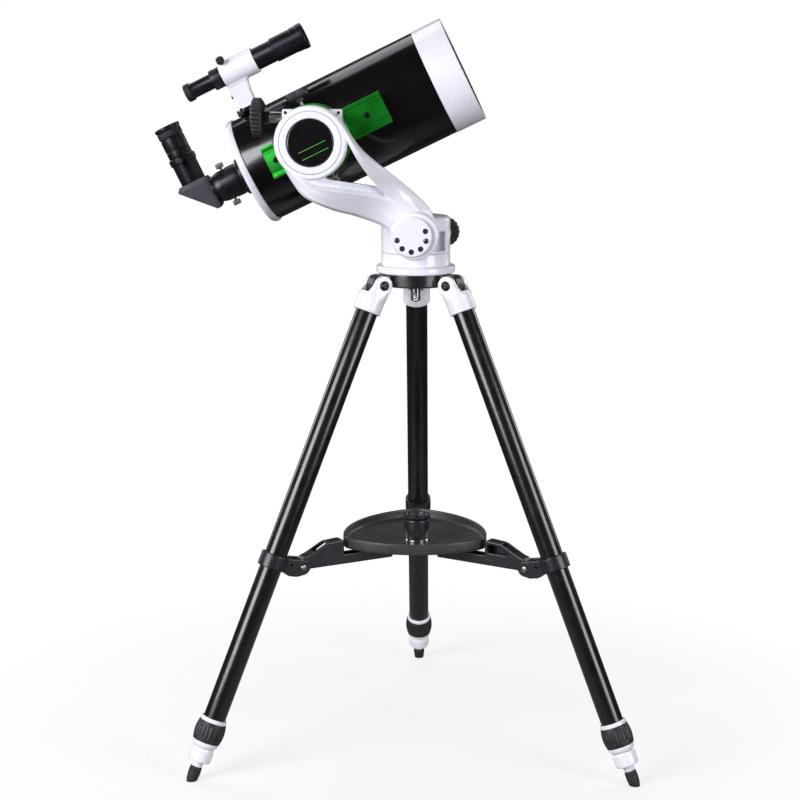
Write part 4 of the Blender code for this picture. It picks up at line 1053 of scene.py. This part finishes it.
def saddle():
    across = at(SADDLE, along="-Y")
    jaws = [(-84, -36, 1), (-84, 36, 1), (-64, 36, 2), (-64, 18.9, 0.8), (-73.4, 22.5), (-73.4, -22.5),
            (-64, -18.9, 0.8), (-64, -36, 2)]
    body = slab("saddle", jaws, -40, 40, at(SADDLE, along="YZ"), 0.3)
    trim = rod("saddle_round", 47.3, 60, 90, across, 0.4, 128)
    combine(body, [trim], "INTERSECT")
    cut(body, rod("saddle_hole", 3.2, 10, 60, at(SADDLE, 5, -69.6, 0), 0.01),
        rod("saddle_hole_low", 2.6, 10, 60, at(SADDLE, 1, -69.6, 0, "-Z"), 0.01))
    wear(body, "anodised", "saddle", "saddle")
    disc = turned("altitude_disc", [
        (0, 112), (14, 112, 0.6), (14, 90.5), (47.6, 90.5, 0.6), (48.5, 89.6, 0.5), (48.5, 85.4, 0.5),
        (47.9, 84.4, 0.4), (0, 84.4)], across, 160)
    wear(disc, "green", "saddle", "altitude_disc")

    knob = at(SADDLE, 5, -69.6, 0)
    stem = turned("saddle_knob_stem", [(0, 58), (2.6, 58), (2.6, 25, 0.6), (0, 24)], knob, 40)
    wear(stem, "steel", "saddle_knob")
    outline = arc((9.7, 0), 5.8, -90, 90, 14) + [(0, 4.6, 8)] + arc((-9.7, 0), 5.8, 90, 270, 14) + [(0, -4.6, 8)]
    grip = slab("saddle_knob", outline, 57.5, 69, knob, 3.2)
    collar = turned("saddle_knob_collar", [(2.7, 57.8), (6.0, 57.8, 0.4), (5.4, 52.6, 0.8), (2.7, 52.6)], knob, 48)
    join(grip, collar)
    wear(grip, "grip", "saddle_knob", "saddle_knob", crease=40)

    screw = at(SADDLE, 1, -69.6, 0, "-Z")
    body = turned("saddle_screw", [(0, 50), (2.2, 50), (2.2, 24), (0, 24)], screw, 40)
    wing = slab("saddle_screw_wing", [(-5.9, 49.5, 1), (-5.9, 59.8, 3), (-2, 60, 1), (0, 53.5, 1.5), (2, 60, 1),
                                      (5.9, 59.8, 3), (5.9, 49.5, 1)], -1.4, 1.4, at(screw, along="-Y"), 0.6)
    join(body, wing)
    wear(body, "chrome", "saddle_screw", "saddle_screw", crease=40)


# ---------------------------------------------------------------- telescope


def along_tube(a=0.0, y=0.0, n=0.0):
    return at(TUBE, a, y, n, "X")


def optics():
    axis = along_tube()
    tube = turned("optical_tube", [(TUBE_R, 168.7, 0.3), (TUBE_R, -97.4, 0.3), (70.5, -97.4), (70.5, 168.7)], axis, 256)
    wear(tube, "tube_black", "telescope", "optical_tube")
    lining = turned("tube_lining", [(70.3, 160), (70.3, -88.5), (69.6, -88.5), (69.6, 160)], axis, 128)
    wear(lining, "flocked", "telescope")
    ring = turned("front_ring", [
        (72.6, 169.2, 0.3), (72.6, 210.0, 0.5), (71.8, 211.0, 0.4), (69.6, 211.0, 0.5), (66.3, 200.2, 0.5),
        (66.3, 186.4), (63.5, 186.4, 0.2), (63.5, 161.2), (70.1, 161.2), (70.1, 169.2)], axis, 256)
    wear(ring, "white", "telescope", "front_ring")
    dew = turned("dew_lining", [(69.2, 210.4, 0.2), (66.1, 200.0, 0.4), (66.1, 195.0), (65.5, 195.0, 0.2),
                                (65.5, 200.2, 0.4), (68.7, 210.6, 0.2)], axis, 192)
    wear(dew, "flocked", "telescope")
    retainer = turned("corrector_retainer", [(66.0, 198.4, 0.3), (62.6, 198.4, 0.6), (62.2, 194.9, 0.3), (66.0, 194.9)],
                      axis, 192)
    wear(retainer, "plastic", "telescope")
    front = [(r, 188.3 + 6.0 * (r / 66.0) ** 2) for r in range(0, 66, 6)]
    back = [(r, 180.3 + 6.0 * (r / 66.0) ** 2) for r in range(60, -1, -6)]
    lens = turned("corrector_lens", [*front, (65.4, 194.2), (65.4, 186.6), (63.2, 186.6), *back], axis, 160)
    wear(lens, "glass", "telescope", "corrector_lens")
    spot = turned("secondary_spot", [(0, 180.1), (17.5, 180.5), (17.5, 180.1), (0, 179.7)], axis, 96)
    wear(spot, "mirror", "telescope")
    baffle = turned("secondary_baffle", [(17.6, 179.9), (19.0, 179.9), (19.6, 158, 0.3), (18.4, 158, 0.3)], axis, 96)
    wear(baffle, "flocked", "telescope")
    inner = turned("primary_baffle", [(17.0, -96), (18.6, -96), (15.0, 92, 0.3), (13.8, 92, 0.3)], axis, 96)
    wear(inner, "flocked", "telescope")
    face = [(r, -79.0 + 6.0 * ((r - 20) / 46.0) ** 2) for r in range(20, 67, 6)]
    mirror = turned("primary_mirror", [*face, (66, -73.0), (66, -85), (20, -85)], axis, 128)
    wear(mirror, "mirror", "mirror", "primary_mirror")

    cell = turned("rear_cell", [
        (70.1, -89), (70.1, -97.7), (73.3, -97.8, 0.4), (74.0, -98.8, 0.5), (74.0, -103.4, 1.2), (71.4, -107.7, 1.6),
        (62, -107.7, 0.4), (61, -106.8, 0.4), (34, -106.8, 0.4), (33, -107.7, 0.4), (19.5, -107.7), (19.5, -101),
        (68, -101), (68, -89)], axis, 256)
    wear(cell, "white", "telescope", "rear_cell")
    # The ring's third screw is left out, next to the focus knob.
    for i in (1, 2):
        turn = math.radians(30 + 120 * i)
        spot = at(TUBE, -106.8, 47 * math.cos(turn), 47 * math.sin(turn), "-X")
        cross_screw(f"cell_screw_{i}", spot, 2.6, "telescope", "black_steel")
    knob = turned("focus_knob", [
        (0, 108.2), (4, 108.2), (4, 111), (11.4, 111, 0.6), (12.5, 112.4, 0.6), (12.5, 116), (12.5, 130),
        (12.5, 133.4, 1), (11.0, 135, 0.8), (4, 135, 0.3), (3.2, 134, 0.3), (0, 134)], at(TUBE, 0, 45, 0, "-X"), 192,
        (24, 0.6, 113, 133))
    wear(knob, "rubber", "focus_knob", "focus_knob", crease=50)
    collar = turned("focus_collar", [(5, 107.5), (10.5, 107.5), (9.6, 110.3, 0.6), (5, 110.3, 0.3)],
                    at(TUBE, 0, 45, 0, "-X"), 64)
    wear(collar, "plastic", "telescope")


def visual_back():
    back = at(TUBE, along="-X")
    plate = turned("visual_back", [
        (16.2, 107.9), (27.2, 107.9, 0.3), (27.2, 113, 0.6), (25.6, 113.6, 0.3), (25.6, 118.6, 0.8), (24.2, 120.8, 0.6),
        (19, 120.8), (19, 124.4, 0.4), (16.2, 124.4, 0.3)], back, 128)
    wear(plate, "anodised", "telescope", "visual_back")
    grip = turned("adapter_ring", [
        (16.2, 124.9), (19.3, 124.9), (19.3, 121.2), (20.8, 121.2, 0.5), (21.2, 123.4, 0.4), (21.8, 124.2, 0.4),
        (21.8, 135.6, 0.5), (21.0, 136.8, 0.4), (21.0, 148.8, 0.8), (19.6, 154.4, 0.8), (18.6, 157.4, 0.6),
        (16.2, 157.4, 0.3)], back, 240, (20, 0.8, 125.5, 135.0))
    holes = []
    for turn in (0, 180):
        holes.append(rod(f"adapter_hole_{turn}", 2.3, 10, 30, turned_by(at(TUBE, -141.5), turn, "X"), 0.01))
    cut(grip, *holes)
    wear(grip, "anodised", "telescope", "adapter_ring", crease=45)
    for name, turn in (("upper", 0), ("lower", 180)):
        screw = turned(f"adapter_screw_{name}", [
            (0, 30.5), (4.6, 30.5, 0.6), (5.5, 29.5, 0.3), (5.5, 24.6, 0.3), (4.4, 23.6, 0.3), (1.9, 23.4),
            (1.9, 17, 0.3), (0, 17)], turned_by(at(TUBE, -141.5), turn, "X"), 160, (20, 0.5, 24.4, 29.8))
        wear(screw, "steel", "adapter_screw_" + name, "adapter_screw_" + name, crease=50)


def diagonal():
    """The prism housing with its nosepiece and the eyepiece socket."""
    nose = turned("diagonal_nose", [(13.8, 127, 0.2), (BARREL_R, 127, 0.5), (BARREL_R, 157.6), (18.4, 157.8, 0.5),
                                    (18.4, 162), (13.8, 162)], at(TUBE, along="-X"), 96)
    wear(nose, "anodised", "diagonal")
    outline = [(-206.3, 17.2, 1.0), (-201.6, 23.4, 1.4), (-163.8, 23.4, 1.6), (-160.7, 17, 1.4), (-160.7, -20.5, 1.6),
               (-166.3, -24, 1.2)]
    prism = slab("diagonal", outline, -17.2, 17.2, at(TUBE, along="-Y"), 1.2)
    wear(prism, "prism_grey", "diagonal", "diagonal", crease=30)
    for end in (-1, 1):
        cover = slab(f"prism_cover_{end}", [(-201.0, 15.4, 1.2), (-199.0, 20.4, 1.2), (-166.0, 20.4, 1.4),
                                            (-163.6, 14.6, 1.2), (-163.6, -17.6, 1.4), (-167.6, -19.6, 1.2)],
                     *sorted((end * 17.0, end * 17.9)), at(TUBE, along="-Y"), 0.4)
        wear(cover, "prism_grey", "diagonal")
    up = at(TUBE, EYEPIECE_A)
    socket = turned("diagonal_socket", [
        (13.5, 22.5), (16.6, 22.5), (17.1, 24.6, 0.5), (17.1, 50.8, 0.5), (17.4, 51.8, 0.3), (18.7, 52.4, 0.5),
        (18.7, 60.2, 0.6), (18.0, 61.0, 0.4), (16.2, 61.0, 0.4), (16.2, 33), (13.5, 33)], up, 128)
    cut(socket, rod("socket_screw_hole", 2.3, 10, 25, at(up, 0, 0, 55.5, "-Y"), 0.01))
    wear(socket, "anodised", "diagonal")
    screw = turned("diagonal_screw", [
        (0, 27), (3.9, 27, 0.5), (4.7, 26.2, 0.3), (4.7, 21.4, 0.3), (3.9, 20.6, 0.3), (1.9, 20.4), (1.9, 17), (0, 17)],
        at(up, 0, 0, 55.5, "-Y"), 128, (16, 0.5, 21.2, 26.4))
    wear(screw, "plastic", "diagonal_screw", "diagonal_screw", crease=50)

    barrel = turned("eyepiece_barrel", [(14.6, 35, 0.2), (BARREL_R, 35, 0.5), (BARREL_R, 61.2), (14.6, 61.2)], up, 96)
    wear(barrel, "chrome", "eyepiece")
    shell = turned("eyepiece", [
        (14.4, 61.3), (16.2, 61.3, 0.3), (16.6, 62.2, 0.4), (16.6, 70.5, 0.3), (16.1, 71.0, 0.2), (16.1, 72.0, 0.2),
        (16.6, 72.5, 0.3), (16.6, 88, 0.4), (16.0, 88.6, 0.2), (16.0, 89.4, 0.2), (16.6, 90, 0.3), (16.6, 99.2, 0.4),
        (17.2, 100.4, 0.5), (17.9, 101.4, 0.5), (17.9, 104.2, 0.7), (17.0, 105.3, 0.5), (14.2, 105.3, 0.6),
        (12.6, 103.0, 0.5), (9.2, 101.8, 0.3), (9.2, 96), (14.4, 96)], up, 144)
    wear(shell, "anodised", "eyepiece", "eyepiece")
    guard = turned("eyepiece_grip", [(16.7, 90.6, 0.3), (17.1, 91.0, 0.3), (17.1, 98.6, 0.4), (16.7, 99.0, 0.3)], up,
                   216, (36, 0.35, 90.8, 98.8))
    wear(guard, "rubber", "eyepiece", crease=50)
    lens = turned("eyepiece_lens", [(0, 103.0), (4, 102.8), (7, 102.3), (9.1, 101.4), (9.1, 98), (0, 98)], up, 64)
    wear(lens, "lens_violet", "eyepiece")
    field = turned("eyepiece_field_lens", [(0, 38), (14.5, 38), (14.5, 37), (10, 36.4, 0.3), (0, 36.2)], up, 64)
    wear(field, "lens_green", "eyepiece")


def dovetail():
    """The green bar: undercut sides, two long grooves, a raised middle and two bolts."""
    w = 22.0
    half = [(-85, 11.5, 0.4), (-84.2, 12.2, 0.3), (-83.4, 12.8, 0.2), (-83.4, 16.8, 0.2), (-85, 17.2, 0.5),
            (-85, w, 0.7), (-83.2, w, 0.4), (-77.4, w - 3.6, 0.4), (-72.8, w - 3.6, 0.3)]
    outline = half + [(p[0], -p[1], *p[2:]) for p in reversed(half)]
    body = slab("dovetail_bar", outline, -70, 102, at(TUBE, along="YZ"), 0.6)
    wear(body, "green", "telescope", "dovetail_bar", crease=25)
    for i, a in enumerate((75.6, -57.2)):
        cap_screw(f"dovetail_bolt_{i}", at(TUBE, a, -84.8, 0, "-Y"), 3.9, 1.3, 2.4, 6, "telescope", "black_steel")
    for i, a in enumerate((92, -60)):
        shoe = slab(f"tube_nut_{i}", [(-9, -12, 2), (9, -12, 2), (9, 12, 2), (-9, 12, 2)], 70.6, 73.2,
                    at(TUBE, a, 0, 0, "-Y"), 0.5)
        wear(shoe, "anodised", "telescope")


def finder():
    shoe = slab("finder_shoe", [(-15, 72.2, 0.5), (-15, 76.4, 0.5), (-12.2, 81, 0.8), (-9.2, 81, 0.6),
                                (-8.6, 76.2, 0.4), (8.6, 76.2, 0.4), (9.2, 81, 0.6), (12.2, 81, 0.8), (15, 76.4, 0.5),
                                (15, 72.2, 0.5)],
                -86, -50, at(TUBE, along="YZ"), 0.6)
    wear(shoe, "anodised", "telescope", "finder_shoe")
    screw = at(TUBE, -78, -15.0, 78.4, "-Y")
    thumb = turned("shoe_screw", [(0, 9), (3.6, 9, 0.5), (4.0, 8, 0.3), (4.0, 3.4, 0.3), (2, 2.8), (2, -4), (0, -4)],
                   screw, 128, (16, 0.4, 3.4, 8.4))
    wear(thumb, "chrome", "telescope", crease=50)

    axis = along_tube(0, 0, FINDER_N)
    bracket = turned("finder_bracket", [(15.7, -33.5, 0.4), (17.3, -33.5, 0.6), (17.3, -83.2, 0.6), (15.7, -83.2, 0.4)],
                     axis, 96)
    profile = ((76.5, 8.3, -81.5, -57.5, 1.5), (80.5, 8.4, -81.5, -57.5, 1.5), (84, 7.0, -82.4, -56.9, 2.5),
               (100, 6.6, -82.6, -56.6, 2.5), (112, 7.4, -82.8, -54.5, 3.0), (118, 10.0, -83.0, -50.0, 4.0),
               (122, 12.0, -83.0, -45.0, 5.0))
    sections = []
    for n, t, a0, a1, corner in profile:
        loop = leg_section((a1 - a0) / 2, t, min(corner, t - 0.5), n, (a0 + a1) / 2)
        sections.append(loop)
    stem = loft("finder_stem", sections, TUBE)
    pad = turned("finder_pad", [(0, 18.6), (4.6, 18.6, 0.8), (5.4, 15.9), (0, 15.9)],
                 turned_by(at(TUBE, -75, 0, FINDER_N), FINDER_SCREW_LEAN, "X"), 48)
    join(bracket, stem, pad)
    cut(bracket, rod("finder_bore", 15.7, -90, -28, axis, 0.01, 96))
    cast(bracket, 0.6, 4)
    cut(bracket, rod("finder_screw_hole", 2.1, 12, 24, turned_by(at(TUBE, -75, 0, FINDER_N), FINDER_SCREW_LEAN, "X"),
                     0.01, 32))
    wear(bracket, "white", "telescope", "finder_bracket", crease=50)
    cap_screw("bracket_screw", at(TUBE, -83.2, 0, 100.8, "-X"), 2.6, 2.0, 1.4, 5, "telescope", "steel")

    tube = turned("finder_tube", [
        (15.0, 37.5), (15.0, 40.2, 0.4), (15.6, 41.0, 0.4), (17.0, 41.0, 0.5), (17.6, 40.2, 0.4), (17.6, 33.4, 0.4),
        (16.9, 32.8, 0.4), (16.9, 24, 0.3), (16.3, 23.4, 0.3), (16.3, -5.4, 0.5), (15.9, -6.2, 0.3), (14.6, -6.8, 0.4),
        (14.6, -85.0, 0.4), (13.4, -85.6, 0.4), (13.4, -92), (13.4, -98.4, 0.6), (10.3, -99.2, 0.3),
        (10.3, -128.0, 0.3), (11.8, -129.2, 0.4), (11.9, -131), (11.9, -137.6, 0.6), (11.0, -138.6, 0.5),
        (8.6, -138.6, 0.5), (7.2, -136.6, 0.3), (7.2, -132), (4, -132), (4, 20), (13, 37.5)], axis, 192)
    wear(tube, "anodised", "finder", "finder_tube", crease=40)
    lock = turned("finder_lock_ring", [(13.5, -86.4, 0.3), (13.9, -86.8, 0.3), (13.9, -97.2, 0.3), (13.5, -97.6, 0.3)],
                  axis, 216, (36, 0.3, -97.0, -87))
    wear(lock, "plastic", "finder", crease=50)
    cup = turned("finder_eye_cup", [(11.95, -130.2, 0.3), (12.2, -130.6, 0.3), (12.2, -136.8, 0.3),
                                    (11.95, -137.2, 0.3)],
                 axis, 180, (30, 0.25, -136.6, -130.8))
    wear(cup, "rubber", "finder", crease=50)
    front = turned("finder_objective", [(0, 37.6), (6, 37.3), (11, 36.6), (14.9, 35.4), (14.9, 33), (0, 33)], axis, 96)
    wear(front, "lens_green", "finder")
    eye = turned("finder_eye_lens", [(0, -134.6), (4, -134.3), (7.1, -133.4), (7.1, -131), (0, -131)], axis, 64)
    wear(eye, "lens_violet", "finder")

    place = turned_by(at(TUBE, -75, 0, FINDER_N), FINDER_SCREW_LEAN, "X")
    knob = turned("finder_screw", [
        (0, 28), (4.6, 28, 0.7), (5.6, 27, 0.4), (5.6, 22.0, 0.4), (4.6, 21.0, 0.4), (1.8, 20.6), (1.8, 15.3),
        (0, 15.3)], place, 144, (12, 0.9, 21.6, 27.4))
    wear(knob, "plastic", "finder_screw", "finder_screw", crease=50)


def build_mount():
    mount_base()
    azimuth_head()
    arm()
    pivot_disc()
    altitude_head()
    saddle()


def build_telescope():
    optics()
    visual_back()
    diagonal()
    dovetail()
    finder()


# ---------------------------------------------------------------- stage


def camera():
    """The camera stands on the viewer's side of the azimuth axis and looks slightly down."""
    data = bpy.data.cameras.new("camera")
    data.lens = 79.8
    data.sensor_width = 36.0
    data.clip_end = 50
    obj = bpy.data.objects.new("camera", data)
    bpy.context.scene.collection.objects.link(obj)
    obj.location = STAND.translation + Vector((0, -2.392, 0.9403))
    pitch, yaw = math.radians(10.76), math.radians(-0.51)
    obj.rotation_euler = (QUARTER - pitch, 0, -yaw)
    bpy.context.scene.camera = obj
    return obj


def area(name, size, power, location, aim, colour):
    data = bpy.data.lights.new(name, "AREA")
    data.shape = "RECTANGLE"
    data.size, data.size_y = size
    data.energy = power
    data.color = colour
    obj = bpy.data.objects.new(name, data)
    bpy.context.scene.collection.objects.link(obj)
    obj.location = location
    obj.rotation_euler = (Vector(aim) - Vector(location)).to_track_quat("-Z", "Y").to_euler()
    return obj


def studio():
    scene = bpy.context.scene
    scene.view_settings.view_transform = "Standard"
    world = bpy.data.worlds.new("studio")
    scene.world = world
    world.use_nodes = True
    tree = world.node_tree
    seen = tree.nodes["Background"]
    seen.inputs["Color"].default_value = (1.0, 1.0, 1.0, 1)
    around = tree.nodes.new("ShaderNodeBackground")
    around.inputs["Color"].default_value = (1.0, 1.0, 1.0, 1)
    around.inputs["Strength"].default_value = ROOM_LIGHT
    mix = tree.nodes.new("ShaderNodeMixShader")
    path = tree.nodes.new("ShaderNodeLightPath")
    tree.links.new(path.outputs["Is Camera Ray"], mix.inputs["Fac"])
    tree.links.new(around.outputs[0], mix.inputs[1])
    tree.links.new(seen.outputs[0], mix.inputs[2])
    tree.links.new(mix.outputs[0], tree.nodes["World Output"].inputs["Surface"])
    floor()

    centre = Vector((STAND.translation.x, STAND.translation.y, 0.6))
    for name, size, power, colour, place in LIGHTS:
        area(name, size, power, centre + Vector(place), centre, colour)


def floor():
    """A pale floor that fades into the white room away from the feet."""
    cage = bmesh.new()
    bmesh.ops.create_grid(cage, x_segments=8, y_segments=8, size=1.6)
    sheet = from_cage("floor", cage, Matrix.Translation(STAND.translation - Vector((0, 0, 0.0004))))
    n = Nodes("floor")
    n.ramp(n.noise(1.5, 2), (0.90, 0.90, 0.90), (0.93, 0.93, 0.93))
    n.rough(n.noise(8, 2), 0.7, 0.8)
    distance = n.add("VectorMath", operation="LENGTH")
    n.link(n.coordinates, distance.inputs[0])
    fade = n.between(distance.outputs["Value"], FLOOR_CLEAR, 1.0, FLOOR_SOLID, FLOOR_GONE)
    clear = n.add("BsdfTransparent")
    mix = n.add("MixShader")
    n.link(fade, mix.inputs["Fac"])
    n.link(n.shader.outputs[0], mix.inputs[1])
    n.link(clear.outputs[0], mix.inputs[2])
    n.link(mix.outputs[0], n.tree.nodes["Material Output"].inputs["Surface"])
    sheet.data.materials.append(n.material)


camera()
build_tripod()
build_mount()
build_telescope()
studio()
